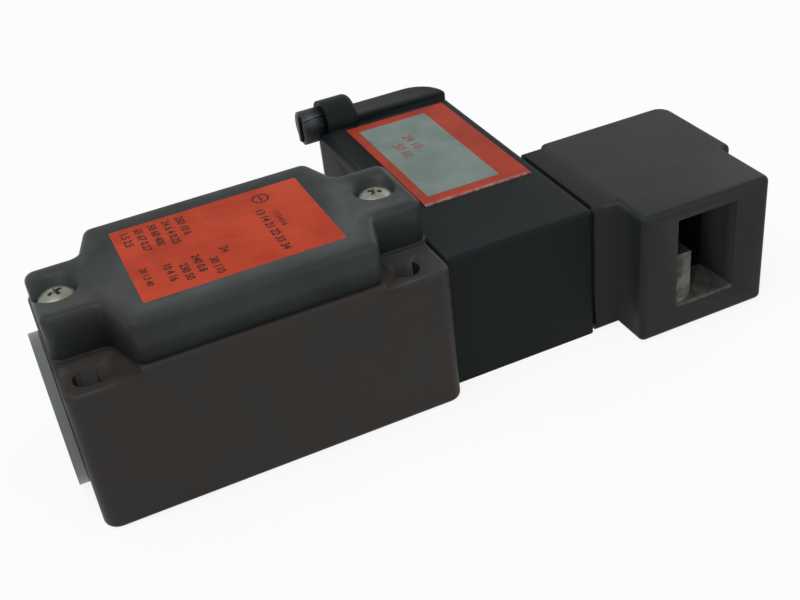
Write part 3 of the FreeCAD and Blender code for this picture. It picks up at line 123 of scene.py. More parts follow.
class SwitchSizes(bpy.types.PropertyGroup):
    """Sizes of the fine pieces"""
    recess_depth: length("Recess depth", "Depth of the cross recess in the lid screws", mm(0.9))
    recess_width: length("Recess width", "Width of one arm of the cross recess", mm(0.95))
    head_crown: length("Head crown", "Height of the dome on a screw head", mm(0.75))
    socket_width: length("Socket width", "Width across flats of the head screws' socket", mm(2.5))
    thread_pitch: length("Thread pitch", "Pitch of the cable entry's thread", mm(1.5))
    thread_height: length("Thread height", "Height of the cable entry's thread", mm(0.45))
    print_lift: length("Print lift", "How far the print stands on its label", mm(0.03))


class SwitchColours(bpy.types.PropertyGroup):
    """Colours of the finishes"""
    body: tint("Body", "Stove enamel of the body casting", (0.027, 0.029, 0.029))
    lid: tint("Lid", "Stove enamel of the lid", (0.034, 0.042, 0.041))
    head: tint("Head", "Stove enamel of the head casting", (0.016, 0.020, 0.018))
    module: tint("Module", "Plastic of the lock module", (0.006, 0.008, 0.0088))
    label: tint("Label", "Red foil of the labels", (0.50, 0.050, 0.016))
    field: tint("Label field", "Pale field of the module's label", (0.19, 0.24, 0.215))
    ink: tint("Ink", "Black print", (0.012, 0.008, 0.007))
    bare: tint("Bare metal", "Machined face of the cable entry", (0.19, 0.20, 0.20))
    zinc: tint("Zinc", "Plated screws", (0.22, 0.24, 0.21))


def sizes():
    return bpy.context.scene.switch_sizes


def colours():
    return bpy.context.scene.switch_colours


# Shader groups --------------------------------------------------------------------------------

def group_tree(name, inputs, outputs):
    """A shader node group with number sockets, its inputs given with their defaults."""
    tree = bpy.data.node_groups.new(name, "ShaderNodeTree")
    for word, default in inputs.items():
        socket = tree.interface.new_socket(name=word, in_out="INPUT",
                                           socket_type="NodeSocketFloat")
        socket.default_value = default
    for word in outputs:
        tree.interface.new_socket(name=word, in_out="OUTPUT", socket_type="NodeSocketFloat")
    return tree, tree.nodes.new("NodeGroupInput"), tree.nodes.new("NodeGroupOutput")


def connect(tree, value, socket):
    """Set a socket to a number, or link it to another socket."""
    if isinstance(value, (int, float)):
        socket.default_value = value
    else:
        tree.links.new(value, socket)


def node(tree, kind, **values):
    """A node with its properties and unlinked sockets set by name."""
    item = tree.nodes.new(kind)
    for word, value in values.items():
        if hasattr(item, word):
            setattr(item, word, value)
        else:
            item.inputs[word.replace("_", " ")].default_value = value
    return item


def math_node(tree, operation, first, second):
    item = node(tree, "ShaderNodeMath", operation=operation)
    connect(tree, first, item.inputs[0])
    connect(tree, second, item.inputs[1])
    return item.outputs[0]


def remap(tree, value, low, high):
    """Zero below one value and one above another, with a smooth rise between them."""
    item = node(tree, "ShaderNodeMapRange", interpolation_type="SMOOTHSTEP",
                From_Min=low, From_Max=high)
    tree.links.new(value, item.inputs["Value"])
    return item.outputs["Result"]


def noise(tree, scale, detail, roughness):
    """Noise in the object's own coordinates."""
    where = node(tree, "ShaderNodeTexCoord").outputs["Object"]
    item = node(tree, "ShaderNodeTexNoise", Detail=detail, Roughness=roughness)
    tree.links.new(where, item.inputs["Vector"])
    tree.links.new(scale, item.inputs["Scale"])
    return item.outputs["Fac"]


def make_skin_group():
    """Cloudy tone, fine relief and specks of a painted, cast or moulded skin."""
    tree, inlet, outlet = group_tree(
        "Skin", {"Cloud Scale": 60.0, "Grain Scale": 2500.0, "Speck Amount": 0.3},
        ("Cloud", "Relief", "Specks"))
    fine = inlet.outputs["Grain Scale"]
    cloud = noise(tree, inlet.outputs["Cloud Scale"], 5.0, 0.6)
    grain = noise(tree, fine, 2.0, 0.6)
    peel = noise(tree, math_node(tree, "MULTIPLY", fine, 0.3), 2.0, 0.5)
    relief = math_node(tree, "ADD", math_node(tree, "MULTIPLY", grain, 0.45),
                       math_node(tree, "MULTIPLY", peel, 0.55))
    dust = noise(tree, math_node(tree, "MULTIPLY", fine, 0.5), 4.0, 0.7)
    specks = math_node(tree, "MULTIPLY", remap(tree, dust, 0.66, 0.74),
                       inlet.outputs["Speck Amount"])
    tree.links.new(remap(tree, cloud, 0.30, 0.70), outlet.inputs["Cloud"])
    tree.links.new(relief, outlet.inputs["Relief"])
    tree.links.new(specks, outlet.inputs["Specks"])
    return tree


def make_wear_group():
    """A mask of edges where the finish is rubbed, broken up by noise."""
    tree, inlet, outlet = group_tree(
        "Edge wear", {"Reach": 0.0006, "Amount": 0.5, "Break Scale": 420.0}, ("Mask",))
    soft = node(tree, "ShaderNodeBevel", samples=6)
    tree.links.new(inlet.outputs["Reach"], soft.inputs["Radius"])
    plain = node(tree, "ShaderNodeNewGeometry")
    dot = node(tree, "ShaderNodeVectorMath", operation="DOT_PRODUCT")
    tree.links.new(soft.outputs["Normal"], dot.inputs[0])
    tree.links.new(plain.outputs["Normal"], dot.inputs[1])
    edge = remap(tree, math_node(tree, "SUBTRACT", 1.0, dot.outputs["Value"]), 0.01, 0.22)
    gaps = remap(tree, noise(tree, inlet.outputs["Break Scale"], 5.0, 0.7), 0.42, 0.64)
    mask = math_node(tree, "MULTIPLY", math_node(tree, "MULTIPLY", edge, gaps),
                     inlet.outputs["Amount"])
    tree.links.new(mask, outlet.inputs["Mask"])
    return tree


def make_range_group():
    """One where a coordinate lies between two values, with a soft border."""
    tree, inlet, outlet = group_tree(
        "Between", {"Value": 0.0, "Low": 0.0, "High": 1.0, "Border": 0.0002}, ("Mask",))
    value, border = inlet.outputs["Value"], inlet.outputs["Border"]
    above = math_node(tree, "SUBTRACT", value, inlet.outputs["Low"])
    below = math_node(tree, "SUBTRACT", inlet.outputs["High"], value)
    both = math_node(tree, "MINIMUM", math_node(tree, "DIVIDE", above, border),
                     math_node(tree, "DIVIDE", below, border))
    tree.links.new(remap(tree, both, 0.0, 1.0), outlet.inputs["Mask"])
    return tree


# Finishes -------------------------------------------------------------------------------------

class Finish:
    """A material under construction: one Principled shader and the masks that feed it."""

    def __init__(self, name, colour, roughness, metallic=0.0, coat=0.0, gloss=PAINT_GLOSS):
        self.material = bpy.data.materials.new(name)
        self.material.use_nodes = True
        self.tree = self.material.node_tree
        self.tree.nodes.clear()
        self.shader = self.tree.nodes.new("ShaderNodeBsdfPrincipled")
        result = self.tree.nodes.new("ShaderNodeOutputMaterial")
        self.tree.links.new(self.shader.outputs["BSDF"], result.inputs["Surface"])
        self.shader.inputs["Coat Weight"].default_value = coat
        self.shader.inputs["Coat Roughness"].default_value = COAT_ROUGHNESS
        self.shader.inputs["Specular IOR Level"].default_value = gloss
        plain = self.tree.nodes.new("ShaderNodeRGB")
        plain.outputs[0].default_value = (*colour, 1.0)
        self.colour = plain.outputs[0]
        self.rough = roughness
        self.metal = metallic

    def add_group(self, tree, **values):
        item = self.tree.nodes.new("ShaderNodeGroup")
        item.node_tree = tree
        for word, value in values.items():
            connect(self.tree, value, item.inputs[word.replace("_", " ")])
        return item

    def between(self, axis, low, high, border):
        """A mask of what lies between two values of one of the object's coordinates."""
        where = self.tree.nodes.new("ShaderNodeTexCoord")
        parts = self.tree.nodes.new("ShaderNodeSeparateXYZ")
        self.tree.links.new(where.outputs["Object"], parts.inputs[0])
        item = self.add_group(Finishes.range, Value=parts.outputs[axis], Low=low, High=high,
                              Border=border)
        return item.outputs["Mask"]

    def mix_colour(self, mask, colour):
        """Blend the colour towards another where the mask is one."""
        item = self.tree.nodes.new("ShaderNodeMix")
        item.data_type = "RGBA"
        self.tree.links.new(mask, item.inputs["Factor"])
        self.tree.links.new(self.colour, item.inputs["A"])
        item.inputs["B"].default_value = (*colour, 1.0)
        self.colour = item.outputs["Result"]

    def mix_value(self, word, mask, value):
        """Blend rough or metal towards a value where the mask is one."""
        item = self.tree.nodes.new("ShaderNodeMix")
        item.data_type = "FLOAT"
        self.tree.links.new(mask, item.inputs["Factor"])
        connect(self.tree, getattr(self, word), item.inputs["A"])
        item.inputs["B"].default_value = value
        setattr(self, word, item.outputs["Result"])

    def done(self, relief, strength, distance):
        """Feed the shader with what was mixed and with a relief."""
        links = self.tree.links
        links.new(self.colour, self.shader.inputs["Base Color"])
        connect(self.tree, self.rough, self.shader.inputs["Roughness"])
        connect(self.tree, self.metal, self.shader.inputs["Metallic"])
        item = node(self.tree, "ShaderNodeBump", Strength=strength, Distance=distance)
        links.new(relief, item.inputs["Height"])
        links.new(item.outputs["Normal"], self.shader.inputs["Normal"])
        return self.material


def shade(colour, factor):
    return tuple(min(1.0, part * factor) for part in colour)


class Finishes:
    """All finishes of the switch, made once on first use."""
    made = {}

    @classmethod
    def get(cls, word):
        if not cls.made:
            cls.prepare()
        return cls.made[word]

    @classmethod
    def prepare(cls):
        cls.skin = make_skin_group()
        cls.wear = make_wear_group()
        cls.range = make_range_group()
        tones = colours()
        enamels = {
            "body": ("Body enamel", tones.body, 0.46, (0.036, 0.027, 0.022), cls.machined_entry),
            "lid": ("Lid enamel", tones.lid, 0.40, (0.025, 0.028, 0.026)),
            # the head's enamel is darkened inside its tongue slot as painted shade
            "head": ("Head enamel", tones.head, 0.48, (0.022, 0.021, 0.018), cls.painted_slot_shade),
        }
        plastics = {
            "module": ("Module plastic", tones.module, 0.50),
            "inner plastic": ("Inner plastic", (0.040, 0.040, 0.040), 0.45),
            "acetal": ("Acetal", (0.50, 0.50, 0.47), 0.38),
            "rubber": ("Rubber", (0.017, 0.017, 0.017), 0.75),
        }
        metals = {
            "zinc": ("Zinc plate", tones.zinc, 0.34, (0.16, 0.15, 0.12)),
            "steel": ("Ground steel", (0.38, 0.37, 0.35), 0.30, (0.20, 0.17, 0.13)),
            "worn steel": ("Rubbed steel", (0.105, 0.11, 0.10), 0.5, (0.030, 0.030, 0.026)),
            "dark steel": ("Blackened steel", (0.045, 0.050, 0.055), 0.42, (0.02, 0.02, 0.022)),
            "spring": ("Spring wire", (0.32, 0.32, 0.31), 0.28, (0.15, 0.14, 0.12)),
            "brass": ("Brass", (0.55, 0.38, 0.14), 0.30, (0.30, 0.19, 0.07)),
            "copper": ("Enamelled wire", (0.40, 0.15, 0.05), 0.35, (0.25, 0.08, 0.03)),
        }
        foils = {
            "red foil": ("Red foil", tones.label, (0.37, 0.036, 0.012)),
            "module foil": ("Module foil", shade(tones.label, 0.75), (0.27, 0.035, 0.018),
                            cls.rubbed_front),
            "pale field": ("Pale field", tones.field, shade(tones.field, 0.80)),
            "ink": ("Ink", tones.ink, (0.045, 0.014, 0.010)),
            "red ink": ("Red ink", (0.28, 0.085, 0.070), (0.20, 0.12, 0.10)),
        }
        recipes = ((cls.enamel, enamels), (cls.moulded, plastics), (cls.metal, metals),
                   (cls.foil, foils))
        for recipe, entries in recipes:
            for word, values in entries.items():
                cls.made[word] = recipe(*values)

    @classmethod
    def enamel(cls, name, colour, roughness, warm, extra=None):
        """Stove enamel on a casting, rubbed to the metal on its edges."""
        item = Finish(name, colour, roughness, coat=0.05)
        skin = item.add_group(cls.skin, Cloud_Scale=70.0, Grain_Scale=2600.0, Speck_Amount=0.35)
        item.mix_colour(skin.outputs["Cloud"], warm)
        item.mix_colour(skin.outputs["Specks"], shade(colour, 2.6))
        item.mix_value("rough", skin.outputs["Cloud"], roughness + 0.10)
        if extra:
            extra(item, colour)
        worn = item.add_group(cls.wear, Reach=mm(0.55), Amount=0.55, Break_Scale=380.0)
        item.mix_colour(worn.outputs["Mask"], shade(colour, 3.6))
        item.mix_value("rough", worn.outputs["Mask"], 0.33)
        item.mix_value("metal", worn.outputs["Mask"], 0.3)
        return item.done(skin.outputs["Relief"], 0.35, mm(0.12))

    @staticmethod
    def machined_entry(item, colour):
        """Bare metal on the boss of the cable entry."""
        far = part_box("base_housing")[0].x + ENTRY_BOSS - mm(0.15)
        mask = item.between("X", -1.0, far, mm(0.15))
        item.mix_colour(mask, colours().bare)
        item.mix_value("rough", mask, 0.38)
        item.mix_value("metal", mask, 0.55)

    @staticmethod
    def painted_slot_shade(item, colour):
        """Painted shade on the walls of the tongue slot, round the guide and behind it."""
        low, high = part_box("slot_guide")
        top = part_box("head_housing")[1].z
        along = item.between("X", low.x - mm(1.0), high.x + mm(2.0), mm(0.4))
        deep = item.between("Y", low.y + mm(0.6), mm(12.0), mm(1.6))
        inside = item.between("Z", low.z - mm(1.0), top - mm(2.0), mm(0.5))
        mask = math_node(item.tree, "MULTIPLY", along, deep)
        mask = math_node(item.tree, "MULTIPLY", mask, inside)
        # painted shade: the enamel darkened to about a third inside the slot
        item.mix_colour(mask, shade(colour, 0.35))

    @classmethod
    def moulded(cls, name, colour, roughness):
        """Moulded plastic or rubber, a little paler on its edges."""
        item = Finish(name, colour, roughness)
        skin = item.add_group(cls.skin, Cloud_Scale=55.0, Grain_Scale=4200.0, Speck_Amount=0.25)
        item.mix_colour(skin.outputs["Cloud"], shade(colour, 1.25))
        item.mix_colour(skin.outputs["Specks"], shade(colour, 2.8))
        item.mix_value("rough", skin.outputs["Cloud"], roughness + 0.08)
        worn = item.add_group(cls.wear, Reach=mm(0.35), Amount=0.35, Break_Scale=600.0)
        item.mix_colour(worn.outputs["Mask"], shade(colour, 3.0))
        return item.done(skin.outputs["Relief"], 0.22, mm(0.06))

    @classmethod
    def metal(cls, name, colour, roughness, stain):
        """Metal with clouds and specks of a darker stain."""
        item = Finish(name, colour, roughness, metallic=1.0, gloss=METAL_GLOSS)
        skin = item.add_group(cls.skin, Cloud_Scale=240.0, Grain_Scale=5200.0, Speck_Amount=0.6)
        item.mix_colour(skin.outputs["Cloud"], stain)
        item.mix_colour(skin.outputs["Specks"], shade(stain, 0.6))
        item.mix_value("rough", skin.outputs["Cloud"], roughness + 0.14)
        return item.done(skin.outputs["Relief"], 0.15, mm(0.04))

    @classmethod
    def foil(cls, name, colour, deep, extra=None):
        """Printed foil and the print on it."""
        item = Finish(name, colour, 0.42)
        skin = item.add_group(cls.skin, Cloud_Scale=110.0, Grain_Scale=3000.0, Speck_Amount=0.5)
        item.mix_colour(skin.outputs["Cloud"], deep)
        item.mix_colour(skin.outputs["Specks"], shade(deep, 0.5))
        if extra:
            extra(item)
        item.mix_value("rough", skin.outputs["Cloud"], 0.55)
        return item.done(skin.outputs["Relief"], 0.12, mm(0.03))

    @staticmethod
    def rubbed_front(item):
        """Pale grit along the front edge of the module's label."""
        front = item.between("Y", -1.0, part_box("module_label")[0].y + mm(1.2), mm(1.4))
        grit = item.add_group(Finishes.skin, Cloud_Scale=900.0, Grain_Scale=1500.0,
                              Speck_Amount=1.0)
        mask = math_node(item.tree, "MULTIPLY", front, grit.outputs["Cloud"])
        item.mix_colour(mask, (0.34, 0.34, 0.31))


# Making and placing pieces --------------------------------------------------------------------

def link_mesh(bm, name):
    """Turn a bmesh into an object of the scene, and free it."""
    mesh = bpy.data.meshes.new(name)
    bm.to_mesh(mesh)
    bm.free()
    item = bpy.data.objects.new(name, mesh)
    bpy.context.scene.collection.objects.link(item)
    return item


def smooth_by_angle(mesh, degrees):
    mesh.shade_smooth()
    mesh.set_sharp_from_angle(angle=math.radians(degrees))


def finish_piece(name, bm, finish, body, replaced=(), smooth=35.0):
    """Turn a bmesh into a piece: normals outwards, smooth by angle, finish, and its body."""
    bmesh.ops.remove_doubles(bm, verts=bm.verts, dist=1e-7)
    bmesh.ops.recalc_face_normals(bm, faces=bm.faces)
    piece = link_mesh(bm, name)
    smooth_by_angle(piece.data, smooth)
    piece.data.materials.append(Finishes.get(finish))
    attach(piece, body)
    if replaced:
        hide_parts(*replaced)
    return piece


def flat_piece(name, bm, finish):
    """A printed layer: flat faces that all look up."""
    piece = finish_piece(name, bm, finish, "housing")
    for face in piece.data.polygons:
        if face.normal.z < 0:
            face.flip()


def dress(name, finish):
    """Stand a merged, smoothly shaded copy in for a CAD node and give it its finish."""
    bm = bmesh.new()
    bm.from_mesh(frame["nodes"][name].data)
    bmesh.ops.remove_doubles(bm, verts=bm.verts, dist=1e-6)
    piece = link_mesh(bm, name + "_dressed")
    smooth_by_angle(piece.data, 32.0)
    piece.data.materials.clear()
    piece.data.materials.append(Finishes.get(finish))
    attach(piece, body_of_node(name))
    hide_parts(name)
    return piece


def paint(name, finish):
    """Give a CAD node, which keeps its own mesh, its finish."""
    for place in frame["nodes"][name].material_slots:
        place.material = Finishes.get(finish)


def body_of_node(name):
    bodies = frame["record"]["behaviour"]["bodies"]
    return next(body for body, nodes in bodies.items() if name in nodes)


def turn_to(axis):
    """The rotation that turns +Z to an axis."""
    return Vector((0.0, 0.0, 1.0)).rotation_difference(Vector(axis)).to_matrix().to_4x4()


def lathe(profile, segments=40):
    """A closed solid of revolution about Z from (radius, height) pairs in metres."""
    bm = bmesh.new()
    verts = [bm.verts.new((radius, 0.0, height)) for radius, height in profile]
    for low, high in zip(verts, verts[1:]):
        bm.edges.new((low, high))
    bmesh.ops.spin(bm, geom=bm.verts[:] + bm.edges[:], cent=(0, 0, 0), axis=(0, 0, 1),
                   dvec=(0, 0, 0), angle=2 * math.pi, steps=segments, use_merge=True,
                   use_duplicate=False)
    bmesh.ops.remove_doubles(bm, verts=bm.verts, dist=1e-7)
    return bm


def as_object(bm, name):
    bmesh.ops.recalc_face_normals(bm, faces=bm.faces)
    return link_mesh(bm, name)


def carve(bm, tool):
    """Cut one closed bmesh out of another and give the rest back as a bmesh."""
    base, cutter = as_object(bm, "carve_base"), as_object(tool, "carve_tool")
    modifier = base.modifiers.new("cut", "BOOLEAN")
    modifier.operation, modifier.solver, modifier.object = "DIFFERENCE", "EXACT", cutter
    graph = bpy.context.evaluated_depsgraph_get()
    mesh = bpy.data.meshes.new_from_object(base.evaluated_get(graph))
    result = bmesh.new()
    result.from_mesh(mesh)
    for item in (base, cutter):
        old = item.data
        bpy.data.objects.remove(item)
        bpy.data.meshes.remove(old)
    bpy.data.meshes.remove(mesh)
    return result


def cross_tool(top, width, reach, depth, end_share=0.45, side_share=0.8):
    """Two crossed arms that narrow towards the bottom, to cut a driver recess."""
    bm = bmesh.new()
    bmesh.ops.create_cube(bm, size=1.0)
    for vert in bm.verts:
        along, across = vert.co.x * 2 * reach, vert.co.y * width
        if vert.co.z > 0:
            vert.co = Vector((along, across, top + depth))
        else:
            vert.co = Vector((along * end_share, across * side_share, top - depth))
    first = bm.copy()
    bmesh.ops.rotate(bm, verts=bm.verts, cent=(0, 0, 0),
                     matrix=Matrix.Rotation(math.pi / 2, 3, "Z"))
    return first, bm


def add_prism(bm, radius, start, end, sides):
    """Add a closed upright prism about the Z axis."""
    bmesh.ops.create_cone(bm, cap_ends=True, cap_tris=False, segments=sides, radius1=radius,
                          radius2=radius, depth=end - start,
                          matrix=Matrix.Translation((0, 0, (start + end) / 2)))


def socket_tool(top, width, depth):
    """A hexagonal prism across the flats, to cut a socket."""
    bm = bmesh.new()
    add_prism(bm, width / math.sqrt(3), top - depth, top + depth, 6)
    return (bm,)


def add_shank(bm, radius, start, end):
    add_prism(bm, radius, start, end, 20)


def fastener_head(radius, height, crown, tools, steps=6, rim=0.85, roundness=0.35):
    """A screw head that stands on z = 0, domed by its crown and cut by its recess."""
    shoulder = (height - crown) * rim
    profile = [(0.0, 0.0), (radius, 0.0), (radius, shoulder)]
    for step in range(1, steps):
        share = step / steps
        turn = share * math.pi / 2
        width = roundness * math.cos(turn) + (1 - roundness) * (1 - share)
        profile.append((radius * width, shoulder + (height - shoulder) * math.sin(turn)))
    profile.append((0.0, height))
    bm = lathe(profile)
    for tool in tools:
        bm = carve(bm, tool)
    return bm


def join_at(target, source, spot, degrees):
    """Add a bmesh to another at a spot, turned about its own axis, and free it."""
    turned = spot @ Matrix.Rotation(math.radians(degrees), 4, "Z")
    bmesh.ops.transform(source, matrix=turned, verts=source.verts)
    mesh = bpy.data.meshes.new("joined")
    source.to_mesh(mesh)
    source.free()
    target.from_mesh(mesh)
    bpy.data.meshes.remove(mesh)


def ends_of(low, high, margin):
    return low + margin, high - margin


def dash(bm, x0, x1, y0, y1, z):
    """One flat printed mark."""
    corners = ((x0, y0, z), (x1, y0, z), (x1, y1, z), (x0, y1, z))
    bm.faces.new([bm.verts.new(place) for place in corners])


def figures(bm, text, height, x, y, z):
    """Plain numbers, read along -y with their tops towards +x, from the point (x, y, z) on."""
    curve = bpy.data.curves.new("figures", "FONT")
    curve.body, curve.size = text, height / FIGURE_SHARE
    curve.offset = height * FIGURE_WEIGHT
    item = bpy.data.objects.new("figures", curve)
    bpy.context.scene.collection.objects.link(item)
    graph = bpy.context.evaluated_depsgraph_get()
    mesh = bpy.data.meshes.new_from_object(item.evaluated_get(graph))
    turned = Matrix.Rotation(-math.pi / 2, 4, "Z")
    mesh.transform(Matrix.Translation((x, y, z)) @ turned)
    bm.from_mesh(mesh)
    bpy.data.meshes.remove(mesh)
    bpy.data.objects.remove(item)
    bpy.data.curves.remove(curve)


def printed_ring(bm, spot, radius, width):
    """A flat ring with its middle on a spot."""
    loops = []
    for size in (radius, radius - width):
        verts = bmesh.ops.create_circle(bm, cap_ends=False, radius=size, segments=32,
                                        matrix=spot)["verts"]
        loops += list({edge for vert in verts for edge in vert.link_edges})
    bmesh.ops.bridge_loops(bm, edges=loops)


# Stage ----------------------------------------------------------------------------------------

def light_path_mask(tree):
    """One for what the camera sees itself, in a mirror or through glass."""
    path = tree.nodes.new("ShaderNodeLightPath")
    seen = math_node(tree, "MAXIMUM", path.outputs["Is Camera Ray"],
                     path.outputs["Is Glossy Ray"])
    return math_node(tree, "MAXIMUM", seen, path.outputs["Is Transmission Ray"])


def make_floor():
    bm = bmesh.new()
    bmesh.ops.create_grid(bm, x_segments=1, y_segments=1, size=3.0,
                          matrix=Matrix.Translation((0.0, 0.0, FLOOR - mm(0.05))))
    floor = as_object(bm, "floor")
    material = bpy.data.materials.new("Floor paper")
    material.use_nodes = True
    tree = material.node_tree
    shader = tree.nodes["Principled BSDF"]
    shader.inputs["Base Color"].default_value = (PAPER, PAPER, PAPER, 1.0)
    shader.inputs["Roughness"].default_value = 0.9
    glow = node(tree, "ShaderNodeEmission", Color=(1.0, 1.0, 1.0, 1.0))
    mix = tree.nodes.new("ShaderNodeMixShader")
    mask = math_node(tree, "MULTIPLY", light_path_mask(tree), PAPER_GLOW)
    tree.links.new(mask, mix.inputs["Fac"])
    tree.links.new(shader.outputs["BSDF"], mix.inputs[1])
    tree.links.new(glow.outputs["Emission"], mix.inputs[2])
    tree.links.new(mix.outputs["Shader"], tree.nodes["Material Output"].inputs["Surface"])
    floor.data.materials.append(material)


def make_lamps():
    low, high = CAD_BOX
    centre = (low + high) / 2
    for name, (place, power) in LAMPS.items():
        data = bpy.data.lights.new(name, "AREA")
        data.energy, data.size = power, LAMP_WIDTH
        lamp = bpy.data.objects.new(name, data)
        lamp.location = centre + Vector(place)
        lamp.rotation_mode = "QUATERNION"
        lamp.rotation_quaternion = (centre - lamp.location).to_track_quat("-Z", "Y")
        bpy.context.scene.collection.objects.link(lamp)


def make_world():
    world = bpy.data.worlds.new("Pale room")
    world.use_nodes = True
    tree = world.node_tree
    tree.nodes.clear()
    room = node(tree, "ShaderNodeBackground", Color=(*ROOM_TINT, 1.0), Strength=ROOM_LIGHT)
    white = node(tree, "ShaderNodeBackground", Color=(1.0, 1.0, 1.0, 1.0), Strength=1.0)
    mix = tree.nodes.new("ShaderNodeMixShader")
    result = tree.nodes.new("ShaderNodeOutputWorld")
    tree.links.new(light_path_mask(tree), mix.inputs["Fac"])
    tree.links.new(room.outputs["Background"], mix.inputs[1])
    tree.links.new(white.outputs["Background"], mix.inputs[2])
    tree.links.new(mix.outputs["Shader"], result.inputs["Surface"])
    bpy.context.scene.world = world
    bpy.context.scene.view_settings.view_transform = "Standard"


def make_camera():
    """Stand the camera in front, above and to the left, turned a little about its own axis."""
    turn, rise, roll = (math.radians(angle) for angle in CAMERA_ANGLES)
    back = Vector((math.sin(turn) * math.cos(rise), -math.cos(turn) * math.cos(rise),
                   math.sin(rise)))
    right = Vector((math.cos(turn), math.sin(turn), 0.0))
    up = back.cross(right)
    across = math.cos(roll) * right + math.sin(roll) * up
    above = -math.sin(roll) * right + math.cos(roll) * up
    data = bpy.data.cameras.new("view_camera")
    data.lens, data.sensor_width = CAMERA_LENS, CAMERA_SENSOR
    data.clip_start, data.clip_end = 0.01, 20.0
    camera = bpy.data.objects.new("view_camera", data)
    camera.matrix_world = Matrix.Translation(CAMERA_PLACE) @ Matrix(
        (across, above, back)).transposed().to_4x4()
    bpy.context.scene.collection.objects.link(camera)
    bpy.context.scene.camera = camera


# Operators: one for each piece or group of like pieces ----------------------------------------

class SWITCH_OT_castings(bpy.types.Operator):
    """Finish the body casting, the lid, the head casting, the slot's guide and the cam wheel"""
    bl_idname = "switch.castings"
    bl_label = "Castings"

    def execute(self, context):
        dress("base_housing", "body")
        dress("lid", "lid")
        dress("head_housing", "head")
        dress("slot_guide", "worn steel")
        dress("cam_wheel", "steel")
        return {"FINISHED"}


class SWITCH_OT_module(bpy.types.Operator):
    """Finish the lock module's housing and cover, and the foil of both labels"""
    bl_idname = "switch.module"
    bl_label = "Lock module"

    def execute(self, context):
        dress("module_housing", "module")
        dress("module_cover", "module")
        paint("module_label", "module foil")
        paint("lid_label", "red foil")
        return {"FINISHED"}


class SWITCH_OT_inner_parts(bpy.types.Operator):
    """Finish the contact system, the lock, the solenoid, the springs and the seals"""
    bl_idname = "switch.inner_parts"
    bl_label = "Inner parts"

    kinds = {
        "zinc": ("terminal_screws", "contact_block_screws", "earth_screw", "module_screws"),
        "steel": ("plunger", "plunger_clip", "lock_gate", "push_rod", "armature",
                  "armature_plate", "core_stop", "solenoid_frame", "cam_pin", "release_clip"),
        "spring": ("return_spring", "plunger_spring"),
        "brass": ("plunger_bush", "module_inserts", "head_inserts", "fixed_contacts",
                  "terminal_clamps", "earth_clamp", "contact_bridges"),
        "inner plastic": ("contact_block", "contact_carrier", "coil_bobbin", "lock_guide"),
        "rubber": ("lid_gasket", "module_gasket", "head_gasket", "plunger_seal",
                   "release_seal"),
        "copper": ("coil_winding",),
        "acetal": ("plunger_guide",),
    }

    def execute(self, context):
        for finish, names in self.kinds.items():
            for name in names:
                paint(name, finish)
        spring = dress("lock_spring", "spring")
        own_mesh(spring)
        return {"FINISHED"}


class SWITCH_OT_lid_screws(bpy.types.Operator):
    """Make the two pan-head lid screws with their cross recess"""
    bl_idname = "switch.lid_screws"
    bl_label = "Lid screws"

    def execute(self, context):
        low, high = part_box("lid_screws")
        given = sizes()
        radius = (high.y - low.y) / 2
        height = mm(2.2)
        seat = high.z - height
        bm = bmesh.new()
        for number, x in enumerate(ends_of(low.x, high.x, radius)):
            tools = cross_tool(height, given.recess_width, radius * 0.62, given.recess_depth)
            head = fastener_head(radius, height, given.head_crown, tools)
            add_shank(head, mm(1.9), low.z - seat, 0.0)
            join_at(bm, head, Matrix.Translation((x, 0.0, seat)), 24 + 31 * number)
        finish_piece("lid_screw_heads", bm, "zinc", "housing",
                     ("lid_screws",))
        return {"FINISHED"}


class SWITCH_OT_cap_screws(bpy.types.Operator):
    """Make the four cap screws that hold the head"""
    bl_idname = "switch.cap_screws"
    bl_label = "Cap screws"

    def execute(self, context):
        low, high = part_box("head_screws")
        radius, height, crown = mm(2.75), mm(3.0), mm(0.35)
        seat = high.x - height
        bm = bmesh.new()
        places = [(y, z) for y in ends_of(low.y, high.y, radius)
                  for z in ends_of(low.z, high.z, radius)]
        for number, (y, z) in enumerate(places):
            tools = socket_tool(height, sizes().socket_width, mm(1.5))
            head = fastener_head(radius, height, crown, tools)
            add_shank(head, mm(1.5), low.x - seat, 0.0)
            join_at(bm, head, Matrix.Translation((seat, y, z)) @ turn_to((1, 0, 0)), 17 * number)
        finish_piece("head_cap_screws", bm, "dark steel", "housing",
                     ("head_screws",))
        return {"FINISHED"}


class SWITCH_OT_cover_screws(bpy.types.Operator):
    """Make the four countersunk screws of the module's cover"""
    bl_idname = "switch.cover_screws"
    bl_label = "Cover screws"

    def execute(self, context):
        low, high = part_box("module_cover_screws")
        radius, shank = mm(2.4), mm(1.25)
        cone = [(0.0, mm(-1.15)), (shank, mm(-1.15)), (radius, mm(-0.05)), (radius, 0.0),
                (0.0, 0.0)]
        bm = bmesh.new()
        places = [(x, y) for x in ends_of(low.x, high.x, radius)
                  for y in ends_of(low.y, high.y, radius)]
        for number, (x, y) in enumerate(places):
            head = lathe(cone, 28)
            for tool in cross_tool(0.0, mm(0.6), radius * 0.6, mm(0.8)):
                head = carve(head, tool)
            add_shank(head, shank, low.z - high.z, mm(-1.1))
            spot = Matrix.Translation((x, y, low.z)) @ turn_to((0, 0, -1))
            join_at(bm, head, spot, 29 * number)
        finish_piece("cover_screw_heads", bm, "zinc", "housing",
                     ("module_cover_screws",))
        return {"FINISHED"}


